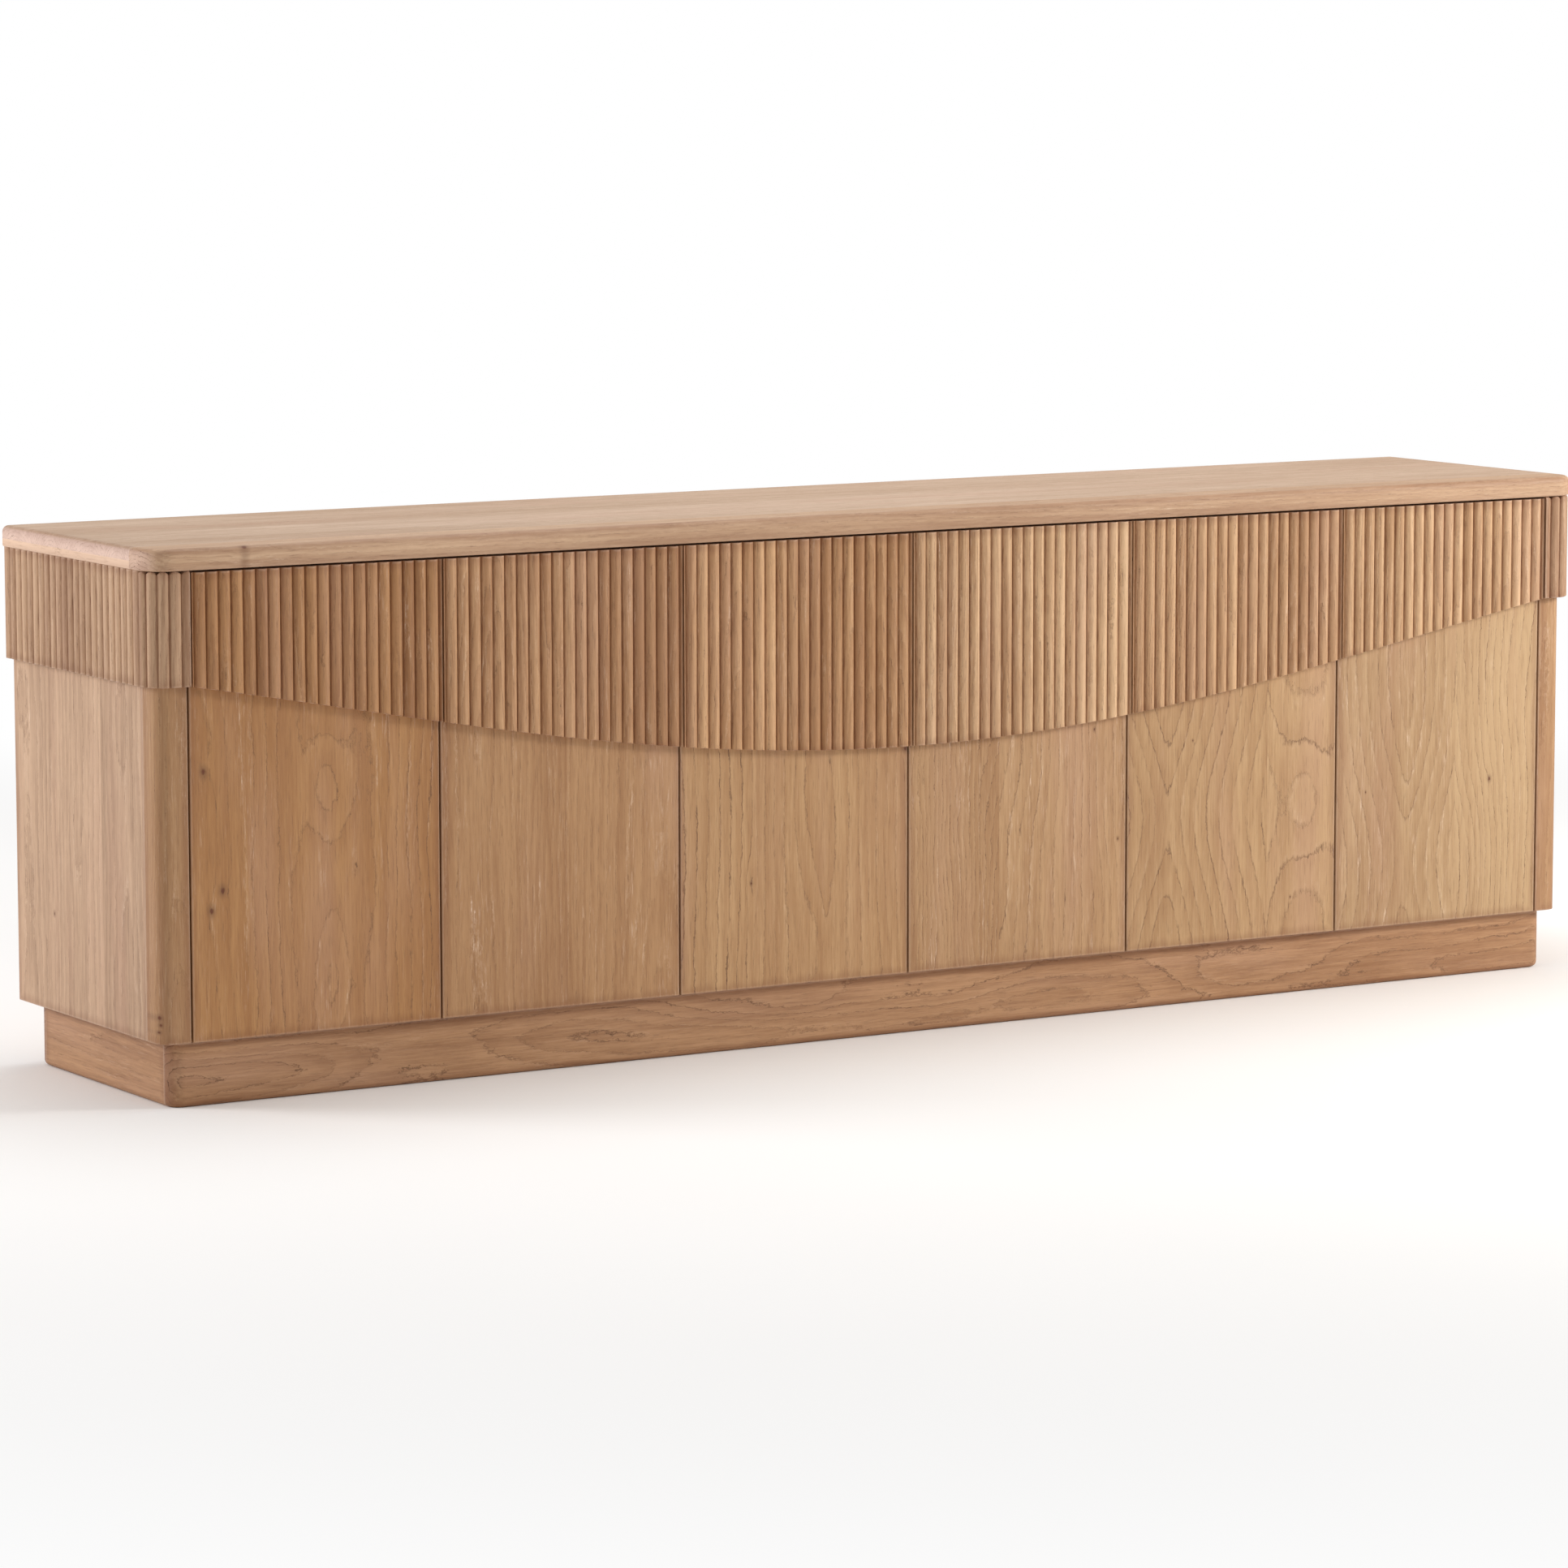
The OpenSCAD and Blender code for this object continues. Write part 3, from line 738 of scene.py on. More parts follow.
for hand, turn in (("right", 1), ("left", -1)):
    post_knots = [(0.128, turn * 1.199, 0.0022), (0.118, turn * 1.198, 0.0016),
                  (0.108, turn * 1.1995, 0.0014)]
    oak_post = oak(f"oak_post_{hand}", "z", "x", "y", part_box(f"corner_post_{hand}"),
                   [Board(0, turn * 1.16, 0.07, 0.02, 0.007, 0.012, 0.35, 0.6, -0.12)], 8 + turn, post_knots)
    oak_side = oak(f"oak_side_{hand}", "z", "y", "x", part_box(f"side_panel_{hand}"), side_boards, 12 + turn,
                   [(0.23, 0.115, 0.0022)], deep=SIDE_DEEP, pale=SIDE_PALE)
    post_piece = post if hand == "right" else mirrored(post, "post_left")
    side_piece = side if hand == "right" else mirrored(side, "side_left")
    fit(post_piece, "case", "oak_case", oak_post, f"corner_post_{hand}")
    fit(side_piece, "case", "oak_case", oak_side, f"side_panel_{hand}")
print("posts", round((post_hi.z - post_lo.z) * 1000), "mm high")

# %% [markdown]
# ## Plinth
# The case stands on a recessed plinth of four boards, whose corners are well rounded. Its oak is
# painted the darkest of the cabinet, partly its own oak and partly painted shade for its recess
# under the case. Its two long boards show arches, from three swells each.

# %% Plinth
# Darkest oak: partly the plinth's own wood, partly painted shade where it is recessed under the case
OAK_PLINTH_SHADED = rgb(142, 100, 67)
OAK_PLINTH_PALE_SHADED = rgb(186, 143, 105)
PLINTH_END_SHADED = rgb(140, 100, 72)
plinth_shaded_finish = {"deep": OAK_PLINTH_SHADED, "pale": OAK_PLINTH_PALE_SHADED, "end_pale": PLINTH_END_SHADED}
plinth_swells = [(-0.78, 0.030, 0.22, 0.035, 0.036), (-0.15, 0.055, 0.30, 0.030, 0.034),
                 (0.62, 0.040, 0.26, 0.035, 0.034)]
plinth_boards = {
    "front": ((PLINTH_T, PLINTH_T, 0, 0), (1, 1, 1, 0)), "back": ((0, 0, PLINTH_T, PLINTH_T), (1, 0, 1, 1)),
    "left": ((0, 0, 0, 0), (1, 0, 0, 0)), "right": ((0, 0, 0, 0), (0, 0, 1, 0))}
for name, (radii, soft) in plinth_boards.items():
    lo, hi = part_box(f"plinth_{name}")
    piece = lying(f"plinth_board_{name}", lo, hi, radii, soft, PLINTH_ROUND)
    if name in ("front", "back"):
        wood = oak(f"oak_plinth_{name}", "x", "z", "y", (lo, hi),
                   [Board(0, 0.035, 0.03, 0.010, 0.010, 0.018, 0.95, 0.2)], 21, (), plinth_swells,
                   **plinth_shaded_finish)
    else:
        wood = oak(f"oak_plinth_{name}", "y", "z", "x", (lo, hi),
                   [Board(0, 0.06, 0.03, 0.03, 0.012, 0.016, 0.35, 0.5, 0.2)], 23, **plinth_shaded_finish)
    fit(piece, "case", "oak_plinth", wood, f"plinth_{name}")
print("plinth", round(hi.z * 1000), "mm high")

# %% [markdown]
# ## The doors' boards
# Each door is a panel of two or three glued boards, and no two doors match. So each has a list of
# its own: its boards and their hearts, its swells and knots, and its cast of colour. The casts are
# partly each door's own wood and partly painted light: warmer and darker towards the left end,
# cooler towards the right.

# %% Boards of the doors
def door_boards(n, x0):
    """The boards of one door, from its left edge."""
    return {
        1: [Board(x0, x0 + 0.02, 0.030, 0.03, 0.020, 0.020, 0.30, 0.7, -0.05),
            Board(x0 + 0.085, x0 + 0.215, 0.090, 0.00, 0.015, 0.022, 0.95, 0.80, 0.0)],
        2: [Board(x0, x0 + 0.05, 0.06, 0.02, 0.010, 0.012, 0.22, 0.9, 0.0),
            Board(x0 + 0.20, x0 + 0.36, 0.09, 0.03, 0.010, 0.014, 0.25, 0.9, 0.05)],
        3: [Board(x0, x0 - 0.02, 0.030, 0.03, 0.017, 0.016, 1.0, 0.25, 0.0),
            Board(x0 + 0.12, x0 + 0.235, 0.020, 0.05, 0.016, 0.016, 0.55, 0.25, 0.05)],
        4: [Board(x0, x0 + 0.19, 0.04, 0.10, 0.0080, 0.034, 0.90, 1.0, -0.05),
            Board(x0 + 0.157, x0 + 0.13, 0.03, -0.14, 0.016, 0.020, 0.80, 0.9, 0.1)],
        5: [Board(x0, x0 + 0.072, 0.010, 0.00, 0.021, 0.006, 0.80, 0.3, 0.1),
            Board(x0 + 0.255, x0 + 0.325, 0.080, 0.00, 0.019, 0.008, 0.80, 0.35, 0.1)],
        6: [Board(x0, x0 + 0.13, 0.012, 0.00, 0.019, 0.010, 0.55, 1.0, 0.12),
            Board(x0 + 0.225, x0 + 0.44, 0.03, 0.22, 0.015, 0.026, 0.95, 0.4, 0.12)],
    }[n]


# Where the rings bulge on each door: height, distance from its left edge, length, breadth, lift
door_swells = {1: [(0.420, 0.210, 0.085, 0.036, 0.042), (0.170, 0.215, 0.130, 0.030, 0.042)],
               3: [(0.150, 0.235, 0.130, 0.040, 0.034), (0.243, 0.117, 0.030, 0.012, 0.012)],
               5: [(0.285, 0.072, 0.150, 0.250, 0.060), (0.300, 0.325, 0.100, 0.042, 0.034)],
               6: [(0.190, 0.150, 0.160, 0.250, 0.055)]}
door_knots = {1: [(0.462, 0.020, 0.0040), (0.297, 0.047, 0.0038), (0.270, 0.030, 0.0040)],
              3: [(0.421, 0.379, 0.0030), (0.243, 0.117, 0.0018)],
              4: [(0.428, 0.325, 0.0018), (0.262, 0.368, 0.0016)],
              5: [(0.400, 0.118, 0.0012), (0.150, 0.300, 0.0014)],
              6: [(0.305, 0.292, 0.0026), (0.300, 0.055, 0.0012)]}
# Each door's cast: partly its own wood, partly painted light, warmer towards the left end and cooler towards
# the right
door_light_casts = {1: (0.98, 0.85, 0.65), 2: (0.92, 0.85, 0.78), 3: (1.09, 1.10, 1.06),
               4: (1.01, 1.02, 1.01), 5: (1.00, 1.03, 1.00), 6: (0.97, 1.04, 1.07)}
print(sum(len(knots) for knots in door_knots.values()), "knots on the doors")

# %% [markdown]
# ## Door panels
# A door panel stands upright, so its outline is drawn in X and Z and its edge profile runs in Y.
# Two round holes in its inner face take the hinge cups.

# %% Door panels
CUP_R = 17.5 * MM
CUP_DEEP = 12.2 * MM
CUP_X = 22.5 * MM
CUP_END = 28 * MM
cup_lo, cup_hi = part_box("door_1_hinge_cups")
CUP_ZS = (cup_lo.z + CUP_END, cup_hi.z - CUP_END)
for n, (lo, hi) in enumerate(panel_boxes, start=1):
    piece = solid(f"door_{n}_board",
                  outline(lo.x, lo.z, hi.x, hi.z, (EASING, EASING, EASING, EASING)),
                  profile(lo.y, hi.y, EASING, EASING), facing_front)
    cup_x = lo.x + CUP_X if n % 2 else hi.x - CUP_X
    drill(piece, [(cup_x, hi.y, z) for z in CUP_ZS], (0, 1, 0), CUP_R, 2 * CUP_DEEP, 48)
    knots = [(z, lo.x + x, size) for z, x, size in door_knots.get(n, [])]
    swells = [(z, lo.x + x, *bulge) for z, x, *bulge in door_swells.get(n, [])]
    wood = oak(f"oak_door_{n}", "z", "x", "y", (lo, hi), door_boards(n, lo.x), 30 + n, knots, swells,
               deep=cast(OAK_DEEP, door_light_casts[n]), pale=cast(OAK_PALE, door_light_casts[n]))
    fit(piece, f"door_{n}", "oak_door", wood, f"door_{n}_panel")
print(DOORS, "door panels with", len(CUP_ZS), "hinge cups each")

# %% [markdown]
# ## Geometry Nodes from a script
# A Geometry Nodes tree is built like a shader web. A modifier is told the values of its inputs by
# each socket's identifier. Once the tree has run, the result is kept as a plain mesh and the
# modifier goes, so that the piece is like any other.

# %% Geometry trees
class GeometryTree(Web):
    """A Geometry Nodes tree with named inputs."""

    def __init__(self, name, sockets):
        super().__init__(bpy.data.node_groups.new(name, "GeometryNodeTree"))
        face = self.tree.interface
        face.new_socket("Geometry", in_out="OUTPUT", socket_type="NodeSocketGeometry")
        face.new_socket("Geometry", in_out="INPUT", socket_type="NodeSocketGeometry")
        for label, kind in sockets:
            face.new_socket(label, in_out="INPUT", socket_type=kind)
        self.entry = self.node("NodeGroupInput")

    def given(self, label):
        return self.entry.out(label)

    def finish(self, geometry):
        real = self.node("GeometryNodeRealizeInstances", inputs=[geometry])
        dressed = self.node("GeometryNodeSetMaterial",
                            inputs={"Geometry": real, "Material": self.given("Material")})
        self.node("NodeGroupOutput", inputs=[dressed])


def grow(name, tree, values, base=None):
    """Runs a tree with its named inputs set, and keeps the result as a plain mesh."""
    piece = linked(name, base or bpy.data.meshes.new(name))
    modifier = piece.modifiers.new("grow", "NODES")
    modifier.node_group = tree
    for item in tree.interface.items_tree:
        if item.in_out == "INPUT" and item.name in values:
            modifier[item.identifier] = values[item.name]
    apply_modifiers(piece)
    return piece


print("tree tools ready")

# %% [markdown]
# ## Reeds
# A reed is a long half-round moulding. They are milled side by side into one board, and one rule
# gives the whole surface: the distance along the board picks the reed, and a circle gives its
# depth. So Geometry Nodes bend one finely cut box: its front follows the reeds, its lower end
# follows the wave, and at the corners the line of crests turns. The tree also stores each reed's
# number and how far a point is from the crest, for the oak.

# %% Reeded band
SEGMENTS = 15
END_STEPS = 5
# The share of the painted valley shade that the cut first reed keeps, as it lies in the light
CUT_REED_SHADE = 0.6


def reeded_tree():
    """The tree that makes one reeded board, from its sizes and its place."""
    floats = ("Reed width", "First reed", "Reed radius", "Board thickness", "Start x", "Start y",
              "Straight", "Turn radius", "Start along", "Top", "Wave mean", "Wave rise", "Wave run",
              "Top easing", "Foot easing", "Top arch", "Reed number")
    whole = ("Columns", "First columns", "Columns per reed")
    tree = GeometryTree("reeded_band", [(label, "NodeSocketFloat") for label in floats]
                        + [(label, "NodeSocketInt") for label in whole]
                        + [("Material", "NodeSocketMaterial")])
    (width, first_reed, radius, thickness, start_x, start_y, straight, turn_radius, start_along, top,
     wave_mean, wave_rise, wave_run, top_easing, foot_easing, top_arch, number) = map(tree.given, floats)
    columns, first_columns, per_reed = map(tree.given, whole)
    rows = 2 * END_STEPS + 3
    block = tree.node("GeometryNodeMeshCube",
                      inputs={"Size": (1.0, 1.0, 1.0), "Vertices X": columns + 1,
                              "Vertices Y": 2, "Vertices Z": rows})
    x, y, z = tree.split(tree.node("GeometryNodeInputPosition"))

    # Column and reed: the first reed may be cut, so its columns are counted apart
    column = (x + 0.5) * columns
    in_first = tree.math("MINIMUM", column, first_columns) / first_columns
    rest = tree.math("MAXIMUM", column - first_columns, 0.0) / per_reed
    reeds_along = in_first * first_reed + rest
    count = reeds_along - first_reed
    marked = tree.node("GeometryNodeStoreNamedAttribute", {"data_type": "FLOAT", "domain": "FACE"},
                       {"Geometry": block, "Name": "reed",
                        "Value": tree.math("FLOOR", count) + number})
    from_crest = tree.math("FRACT", count + 8.0) - 0.5
    valley = tree.math("ABSOLUTE", from_crest) * 2.0
    # The stored valley value is the mask of painted shade in the reeds' valleys; the cut first reed keeps
    # less of it
    shade_kept = 1 - tree.math("LESS_THAN", count, 0.0) * (1 - CUT_REED_SHADE)
    valley_shaded = tree.node("GeometryNodeStoreNamedAttribute", {"data_type": "FLOAT", "domain": "POINT"},
                     {"Geometry": marked, "Name": "valley", "Value": valley * shade_kept})
    off = from_crest * width
    groove = radius - tree.math("SQRT", tree.math("MAXIMUM", radius * radius - off * off, 0.0))

    # Rows: the first and last few round the ends over
    row = (z + 0.5) * (rows - 1)
    turn_low = tree.math("MINIMUM", row / END_STEPS, 1.0) * (math.pi / 2)
    turn_high = tree.math("MINIMUM", (rows - 1 - row) / END_STEPS, 1.0) * (math.pi / 2)
    pull_low = (1 - tree.math("SINE", turn_low)) * foot_easing
    pull_high = (1 - tree.math("SINE", turn_high)) * top_easing
    lift = (1 - tree.math("COSINE", turn_low)) * foot_easing
    drop = (1 - tree.math("COSINE", turn_high)) * top_easing + valley * valley * top_arch
    depth_front = tree.math("MAXIMUM", groove, tree.math("MAXIMUM", pull_low, pull_high))
    is_back = tree.math("GREATER_THAN", y, 0.0)
    depth = depth_front * (1 - is_back) + is_back * thickness

    # The line of crests: straight, round the corner, straight again
    along = reeds_along * width + start_along
    before = tree.math("MINIMUM", along, straight)
    bend = tree.math("MINIMUM", tree.math("MAXIMUM", along - straight, 0.0) / turn_radius, math.pi / 2)
    beyond = tree.math("MAXIMUM", along - straight - turn_radius * (math.pi / 2), 0.0)
    inward = turn_radius - depth
    new_x = start_x + before + tree.math("SINE", bend) * inward
    new_y = start_y + turn_radius - tree.math("COSINE", bend) * inward + beyond
    foot = wave_mean - wave_rise * tree.math("COSINE", new_x / wave_run * math.pi)
    lower = tree.math("LESS_THAN", row, END_STEPS + 0.5)
    upper = tree.math("GREATER_THAN", row, END_STEPS + 1.5)
    centre = 1 - lower - upper
    new_z = (foot + lift) * lower + (top - drop) * upper + (foot + top) * 0.5 * centre
    moved = tree.node("GeometryNodeSetPosition",
                      inputs={"Geometry": valley_shaded, "Position": tree.join(new_x, new_y, new_z)})
    tree.finish(moved)
    return tree.tree


REEDED = reeded_tree()
print("reeded band tree has", len(REEDED.nodes), "nodes")

# %% [markdown]
# ## Three kinds of band
# The doors' bands end in the wave and are cut by the door's edges; the bands on the ends of the
# case are level; and a corner band turns through a right angle on the line of its crests.

# %% Bands
REEDS_PER_DOOR = 20.4
REEDS_PER_SIDE = 23
DOOR_CUT = 0.2
REED_W = DOOR_W / REEDS_PER_DOOR
GROOVE = 6 * MM
CORNER_GROOVE = 4.6 * MM
CORNER_R = 36 * MM
CORNER_FIRST = 0.61
CORNER_WHOLE = 4
NO_TURN = 100.0


def reed_radius(width, groove):
    """The circle that is one reed wide at the groove's depth."""
    return (width * width / 4 + groove * groove) / (2 * groove)


def band(name, width, first, whole, groove, material, **places):
    """One reeded board; `whole` is the number of reeds after the first, which may be cut."""
    first_columns = round(first * SEGMENTS)
    values = {"Reed width": width, "First reed": first, "Reed radius": reed_radius(width, groove),
              "Board thickness": PROUD, "Straight": NO_TURN, "Turn radius": CORNER_R,
              "Start along": 0.0, "Wave mean": SWAG_MEAN, "Wave rise": 0.0, "Wave run": SWAG_RUN,
              "Top easing": 1.2 * MM, "Foot easing": 2.0 * MM, "Top arch": 0.0, "Reed number": 0.0,
              "Columns": first_columns + round(whole * SEGMENTS), "First columns": first_columns,
              "Columns per reed": SEGMENTS, "Material": material}
    values.update({key.replace("_", " "): value for key, value in places.items()})
    return grow(name, REEDED, values)


print("reeds:", round(REED_W * 1000, 2), "mm wide on the doors")

# %% [markdown]
# ## The doors' reeds
# Each band is glued from three boards. The fourth door's is the palest, with steep, open rings in
# one board; the first door's is the darkest and reddest. The bands' casts are partly their own wood
# and partly painted light, warmer and darker towards the left end.

# %% Reeds of the doors
REED_DEEP = rgb(160, 119, 82)
REED_PALE = rgb(206, 168, 128)
# Each band's cast: partly its own wood, partly painted light, warmer and darker towards the left end
reed_light_casts = {1: (0.72, 0.57, 0.42), 2: (0.95, 0.87, 0.81), 3: (0.98, 0.90, 0.81),
               4: (1.09, 1.11, 1.14), 5: (0.97, 0.93, 0.91), 6: (1.05, 1.06, 1.08)}
for n, (lo, hi) in enumerate(panel_boxes, start=1):
    x0 = lo.x
    boards = [Board(x0, x0 + 0.03 * n, 0.04, 0.08, 0.008, 0.014, 0.5, 0.6, 0.0),
              Board(x0 + 0.11, x0 + 0.18, 0.03, -0.06, 0.009, 0.014, 0.45, 0.5, 0.06),
              Board(x0 + 0.24, x0 + 0.30, 0.05, 0.05, 0.007, 0.014, 0.5, 0.6, 0.0)]
    if n == 4:
        boards[0] = Board(x0, x0 + 0.045, 0.004, -0.02, 0.006, 0.02, 0.5, 1.0, -0.05)
    if n == 5:
        boards[0].dark, boards[0].ring = 0.9, 0.005
    wood = oak(f"oak_reeds_{n}", "z", "x", "y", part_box(f"door_{n}_reeds"), boards, 50 + n, reeds=True,
               deep=cast(REED_DEEP, reed_light_casts[n]), pale=cast(REED_PALE, reed_light_casts[n]))
    piece = band(f"door_{n}_reeding", REED_W, DOOR_CUT, REEDS_PER_DOOR - DOOR_CUT, GROOVE, wood,
                 Start_x=x0, Start_y=CREST_Y, Top=hi.z, Wave_rise=SWAG_RISE, Reed_number=n * 40.0)
    fit(piece, f"door_{n}", "oak_reeds", wood, f"door_{n}_reeds")
print(DOORS, "reeded bands on the doors")

# %% [markdown]
# ## The reeds of the ends and corners
# The bands on the case's ends have a whole number of reeds and level feet. At each front corner
# goes part of a reed, then four whole ones whose crests turn with the post. Both are made for the
# right end and mirrored for the left.

# %% Reeds of the ends and corners
SIDE_REED_DEEP = rgb(148, 111, 82)
SIDE_REED_PALE = rgb(192, 156, 124)
side_run = band_hi.y - band_lo.y
for hand, turn in (("right", 1), ("left", -1)):
    boards = [Board(-1, -0.05, 0.06, 0.05, 0.008, 0.014, 0.40, 0.45, 0.12),
              Board(0.02, 0.11, 0.05, -0.05, 0.007, 0.014, 0.40, 0.45, 0.05)]
    wood = oak(f"oak_side_reeds_{hand}", "z", "y", "x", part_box(f"side_reeds_{hand}"), boards, 60 + turn,
               reeds=True, deep=SIDE_REED_DEEP, pale=SIDE_REED_PALE)
    piece = band(f"side_reeding_{hand}", side_run / REEDS_PER_SIDE, 1.0, REEDS_PER_SIDE - 1.0, GROOVE, wood,
                 Start_x=band_hi.x - CORNER_R, Start_y=band_lo.y - CORNER_R, Straight=0.0,
                 Start_along=CORNER_R * math.pi / 2, Top=band_hi.z, Wave_mean=band_lo.z, Reed_number=300.0)
    corner = band(f"corner_reeding_{hand}", REED_W, CORNER_FIRST, CORNER_WHOLE, CORNER_GROOVE, wood,
                  Start_x=corner_lo.x, Start_y=corner_lo.y, Straight=corner_hi.x - CORNER_R - corner_lo.x,
                  Top=corner_hi.z, Wave_mean=corner_lo.z, Top_easing=5.0 * MM, Foot_easing=2.5 * MM,
                  Top_arch=5.0 * MM, Reed_number=340.0)
    corner_wood = oak(f"oak_corner_reeds_{hand}", "z", "x", "y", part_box(f"corner_reeds_{hand}"),
                      [Board(-2, turn * 1.14, 0.05, 0.04, 0.008, 0.014, 0.5, 0.6, 0.0)], 66 + turn,
                      reeds=True, deep=SIDE_REED_DEEP, pale=SIDE_REED_PALE)
    if hand == "left":
        right_pieces = (piece, corner)
        piece = mirrored(piece, "side_reeding_left_hand")
        corner = mirrored(corner, "corner_reeding_left_hand")
        for old in right_pieces:
            bpy.data.objects.remove(old)
    fit(piece, "case", "oak_reeds", wood, f"side_reeds_{hand}")
    fit(corner, "case", "oak_reeds", corner_wood, f"corner_reeds_{hand}")
print(REEDS_PER_SIDE, "reeds on each end of the case")

# %% [markdown]
# ## Metal and plastic
# The hinges are nickel-plated: a mirror under fine scratches and a soft bloom. The strike plates
# are zinc-plated, greyer and duller, and the catches are moulded plastic with a spark texture.
# One function makes all three from two tones and how rough they are.

# %% Metal and plastic materials
SCRATCHES = (900.0, 40.0, 900.0)
SMEARS = (30.0, 30.0, 30.0)


def plain_material(name, light, dark, metallic, rough, spread, grain, bump_height):
    """Metal or plastic: two tones, with scratches one way and a fine bloom all over."""
    material = bpy.data.materials.new(name)
    web = Web(blank(material))
    position = web.node("ShaderNodeTexCoord").out("Object")
    bloom = noise(web, position, (grain, grain, grain), 4.0, 0.6)
    scratches = noise(web, position, SCRATCHES, 2.0, 0.6)
    smears = noise(web, position, SMEARS, 3.0)
    colour = tint(web, step(web, bloom * 0.5 + smears * 0.5, 0.3, 0.7), dark, light)
    bump = web.node("ShaderNodeBump", inputs={"Strength": 0.5, "Distance": bump_height,
                                              "Height": bloom * 0.6 + scratches * 0.4})
    shader = web.node("ShaderNodeBsdfPrincipled",
                      inputs={"Base Color": colour, "Metallic": metallic, "Normal": bump,
                              "Roughness": rough + (scratches * 0.5 + smears * 0.5) * spread})
    web.node("ShaderNodeOutputMaterial", inputs=[shader])
    return material


nickel = plain_material("nickel_plate", rgb(214, 210, 202), rgb(176, 172, 166),
                        1.0, 0.18, 0.22, 260.0, 0.04 * MM)
zinc = plain_material("zinc_plate", rgb(186, 190, 196), rgb(140, 146, 154),
                      1.0, 0.34, 0.2, 420.0, 0.05 * MM)
catch_plastic = plain_material("catch_plastic", rgb(72, 70, 68), rgb(50, 49, 48),
                               0.0, 0.45, 0.2, 1400.0, 0.08 * MM)
print("metal and plastic ready")

# %% [markdown]
# ## One screw
# A pan-head screw is a profile turned round its axis, with a cross slot cut into its head. The
# slot's tool is two crossed bars, so the Boolean modifier is told that it crosses itself.

# %% One screw
HEAD_R = 4 * MM
HEAD_T = 1.8 * MM
SHANK_R = 2 * MM
SHANK_LEN = 9 * MM
SLOT_W = 0.9 * MM
SLOT_L = 4.6 * MM


def screw_mesh():
    """A pan head on a plain shank, along +Z."""
    sides = 24
    rows = [(0.0, -SHANK_LEN), (SHANK_R * 0.6, -SHANK_LEN), (SHANK_R, -SHANK_LEN + SHANK_R),
            (SHANK_R, 0.0), (HEAD_R, 0.0), (HEAD_R, HEAD_T * 0.35), (HEAD_R * 0.92, HEAD_T * 0.7),
            (HEAD_R * 0.7, HEAD_T * 0.93), (HEAD_R * 0.4, HEAD_T), (0.0, HEAD_T)]
    bm = bmesh.new()
    turns = [2 * math.pi * k / sides for k in range(sides)]
    rounds = [[bm.verts.new((r * math.cos(turn), r * math.sin(turn), z)) for turn in turns] for r, z in rows]
    for low, high in zip(rounds, rounds[1:]):
        for k in range(sides):
            bm.faces.new((low[k], low[(k + 1) % sides], high[(k + 1) % sides], high[k]))
    bmesh.ops.remove_doubles(bm, verts=bm.verts, dist=1e-6)
    bmesh.ops.recalc_face_normals(bm, faces=bm.faces)
    return kept_mesh("screw", bm)


bars = bmesh.new()
for size in ((SLOT_L, SLOT_W, SLOT_W), (SLOT_W, SLOT_L, SLOT_W)):
    made = bmesh.ops.create_cube(bars, size=1.0)
    for vertex in made["verts"]:
        vertex.co = Vector((vertex.co.x * size[0], vertex.co.y * size[1], vertex.co.z * size[2] + HEAD_T))
one_screw = linked("one_screw", screw_mesh())
carve(one_screw, linked("cross", kept_mesh("cross", bars)), crosses_itself=True)
print("one screw has", len(one_screw.data.polygons), "faces")

# %% [markdown]
# ## All the screws
# Twenty-four screws hold the hinge plates. Geometry Nodes set a copy of the one screw on every
# screw point, turned towards the direction that the point stores.

# %% Plate screws
def screw_tree():
    """The tree that sets the screw on every point of a mesh."""
    tree = GeometryTree("screws", [("Screw", "NodeSocketObject"), ("Material", "NodeSocketMaterial")])
    one = tree.node("GeometryNodeObjectInfo", inputs={"Object": tree.given("Screw")}).out("Geometry")
    facing = tree.node("GeometryNodeInputNamedAttribute", {"data_type": "FLOAT_VECTOR"}, {"Name": "facing"})
    turned = tree.node("FunctionNodeAlignRotationToVector", {"axis": "Z"}, {"Vector": facing})
    placed = tree.node("GeometryNodeInstanceOnPoints",
                       inputs={"Points": tree.given("Geometry"), "Instance": one, "Rotation": turned})
    tree.finish(placed)
    return tree.tree


def points_mesh(name, points):
    """A mesh of loose points, each with the direction in which it faces."""
    mesh = bpy.data.meshes.new(name)
    mesh.from_pydata([place for place, _ in points], [], [])
    facing = mesh.attributes.new("facing", "FLOAT_VECTOR", "POINT")
    facing.data.foreach_set("vector", [number for _, way in points for number in way])
    return mesh


PLATE_T = 2.5 * MM
SEAT = 8.5 * MM
SCREW_Y = CREST_Y + 73 * MM
SCREW_DZ = 16 * MM
screw_points = []
for n, (lo, hi) in enumerate(panel_boxes, start=1):
    way = 1 if n % 2 else -1
    turning_x = lo.x if way > 0 else hi.x
    for z in CUP_ZS:
        for dz in (-SCREW_DZ, SCREW_DZ):
            screw_points.append(((turning_x + way * (SEAT + PLATE_T), SCREW_Y, z + dz), (way, 0, 0)))
screws = grow("hinge_plate_screws", screw_tree(), {"Screw": one_screw, "Material": nickel},
              points_mesh("screw_points", screw_points))
bpy.data.objects.remove(one_screw)
fit(screws, "case", "nickel_steel", nickel, "plate_screws")
print(len(screw_points), "screws,", len(screws.data.polygons), "faces")

# %% [markdown]
# ## Finishes for the parts that stay
# Inner boards, shelves and fittings already have their right shapes in the frame, so they stay
# and only get a material.

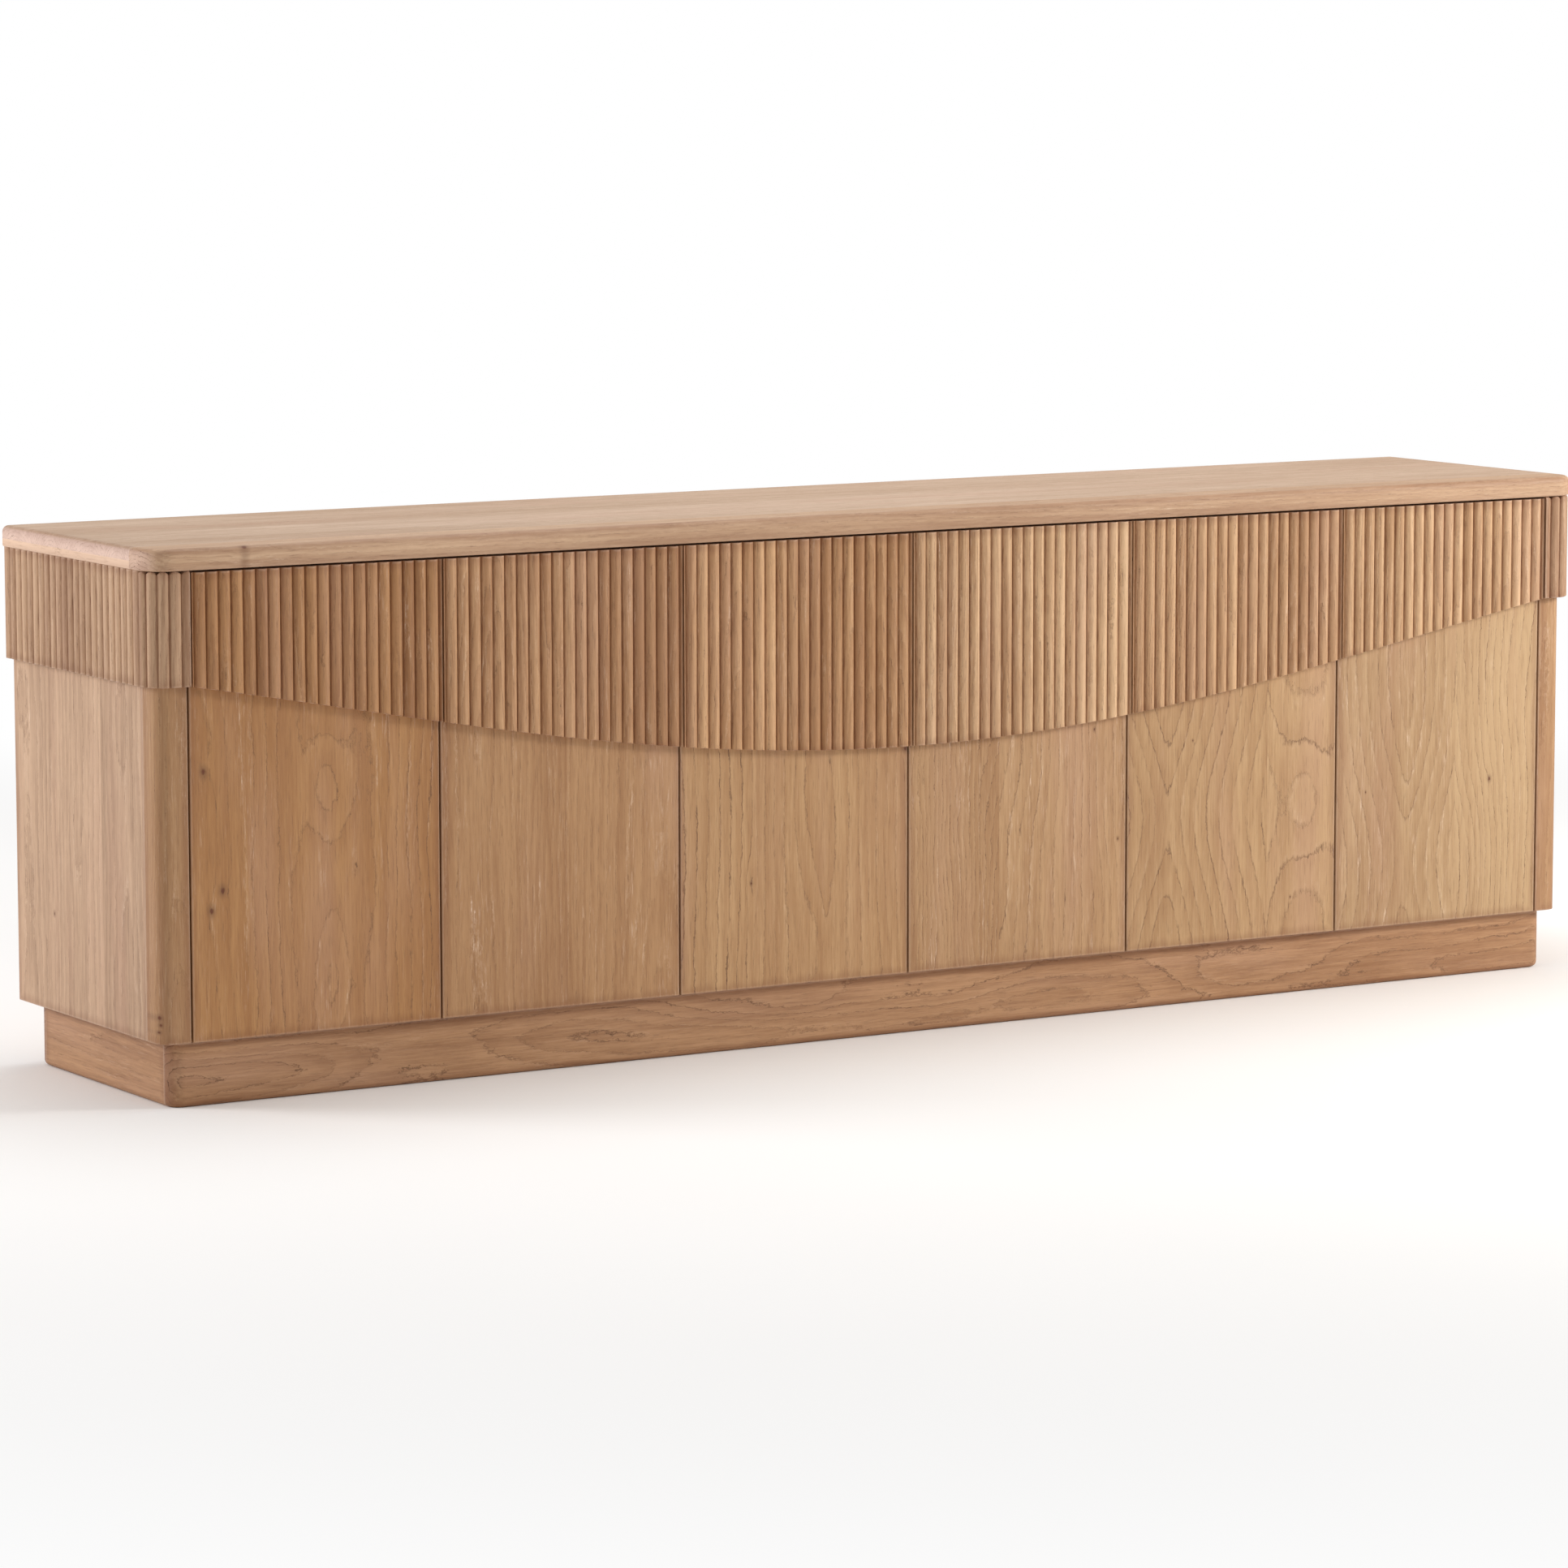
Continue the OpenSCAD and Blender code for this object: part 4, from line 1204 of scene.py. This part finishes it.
# %% Inner boards and fittings
OAK_INNER = rgb(182, 140, 102)
OAK_INNER_PALE = rgb(206, 168, 130)
INNER_BOARD = 0.16
inner_axes = {
    "bottom_panel": "xyz", "top_rail_front": "xyz", "top_rail_back": "xyz",
    "shelf_left": "xyz", "shelf_middle": "xyz", "shelf_right": "xyz",
    "divider_left": "zyx", "divider_right": "zyx", "hinge_stile_left": "zyx", "hinge_stile_right": "zyx",
    "back_panel_left": "zxy", "back_panel_middle": "zxy", "back_panel_right": "zxy",
    "plinth_stretchers": "yzx",
}


def dress(name, material):
    """Puts one material on a frame node."""
    mesh = nodes[name].data
    mesh.materials.clear()
    mesh.materials.append(material)


for seed, (name, order) in enumerate(inner_axes.items(), start=80):
    lo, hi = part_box(name)
    start, end = lo[AXES[order[1]]], hi[AXES[order[1]]]
    count = max(1, round((end - start) / INNER_BOARD))
    width = (end - start) / count
    boards = [Board(start + k * width, start + (k + 0.5 + 0.3 * (-1) ** k) * width, 0.03 + 0.01 * (k % 3),
                    0.03 * (-1) ** k, 0.010, 0.018, 0.35, 0.25) for k in range(count)]
    dress(name, oak(f"oak_{name}", *order, (lo, hi), boards, seed, deep=OAK_INNER, pale=OAK_INNER_PALE))
for name in ("hinge_arms", "hinge_plates", "shelf_pins"):
    dress(name, nickel)
dress("magnetic_catches", catch_plastic)
for n in range(1, DOORS + 1):
    dress(f"door_{n}_hinge_cups", nickel)
    dress(f"door_{n}_strike_plate", zinc)
print(len(inner_axes), "inner boards finished")

# %% [markdown]
# ## Floor
# The floor is a broad pale slab whose upper face lies at height zero. Far from the cabinet it
# glows a little, as a lit studio sweep does, so that it runs into the white without a horizon.

# %% Floor
FLOOR_REACH = 30
FLOOR_CORNER = 5
GLOW_FROM = 1.4
GLOW_FULL = 4.0
floor = solid("floor", outline(-FLOOR_REACH, -FLOOR_REACH, FLOOR_REACH, FLOOR_REACH, (FLOOR_CORNER,) * 4),
              profile(-0.02, 0.0, 0, 0))
floor_material = bpy.data.materials.new("floor")
floor_web = Web(blank(floor_material))
floor_place = floor_web.node("ShaderNodeTexCoord").out("Object")
floor_cloud = noise(floor_web, floor_place, (0.6, 0.6, 0.6), 3.0)
floor_colour = tint(floor_web, floor_cloud, rgb(246, 245, 243), rgb(252, 251, 250))
floor_shader = floor_web.node("ShaderNodeBsdfPrincipled",
                              inputs={"Base Color": floor_colour, "Roughness": 0.85 + floor_cloud * 0.1,
                                      "Specular IOR Level": 0.2})
floor_glow = floor_web.node("ShaderNodeEmission", inputs={"Color": (1.0, 1.0, 1.0, 1.0), "Strength": 1.0})
from_middle = floor_web.node("ShaderNodeVectorMath", {"operation": "LENGTH"}, [floor_place]).out("Value")
far_floor = step(floor_web, from_middle, GLOW_FROM, GLOW_FULL)
floor_mix = floor_web.node("ShaderNodeMixShader", inputs=[far_floor, floor_shader, floor_glow])
floor_web.node("ShaderNodeOutputMaterial", inputs=[floor_mix])
floor.data.materials.append(floor_material)
print("floor is", 2 * FLOOR_REACH, "m across")

# %% [markdown]
# ## Light
# The main light is a large panel at the front right, so the reeds' right flanks shine and their
# left flanks fall into shade. A second panel, behind on the left, lights the cabinet's end, and
# a third hangs over the top. The sky is white to the eye but dim as a light, which keeps the
# shading of the reeds.

# %% Sky and lights
WORLD_DIM = 0.56
WORLD_SEEN = 1.0
world = bpy.data.worlds.new("studio")
bpy.context.scene.world = world
sky = Web(blank(world))
seen = sky.node("ShaderNodeLightPath").out("Is Camera Ray")
strength = seen * (WORLD_SEEN - WORLD_DIM) + WORLD_DIM
sky_light = sky.node("ShaderNodeBackground", inputs={"Color": (1.0, 1.0, 1.0, 1.0), "Strength": strength})
sky.node("ShaderNodeOutputWorld", inputs=[sky_light])


def light_panel(name, place, target, size, power, colour):
    """A square panel of soft light that looks at a target."""
    light = bpy.data.lights.new(name, "AREA")
    light.size = size
    light.energy = power
    light.color = colour
    lamp = linked(name, light)
    lamp.location = place
    way = Vector(target) - Vector(place)
    lamp.rotation_euler = way.to_track_quat("-Z", "Y").to_euler()


light_panel("key", (3.4, -2.3, 1.9), (0.9, -0.24, 0.4), 1.0, 106, (1.0, 0.97, 0.93))
light_panel("end_light", (-4.4, 2.2, 1.8), (-1.2, 0.0, 0.45), 1.6, 96, (1.0, 0.97, 0.98))
light_panel("top_light", (0.2, 0.5, 3.6), (0.0, 0.1, 0.7), 2.4, 50, (0.98, 0.99, 1.0))
bpy.context.scene.view_settings.view_transform = "Standard"
print("studio ready")

# %% [markdown]
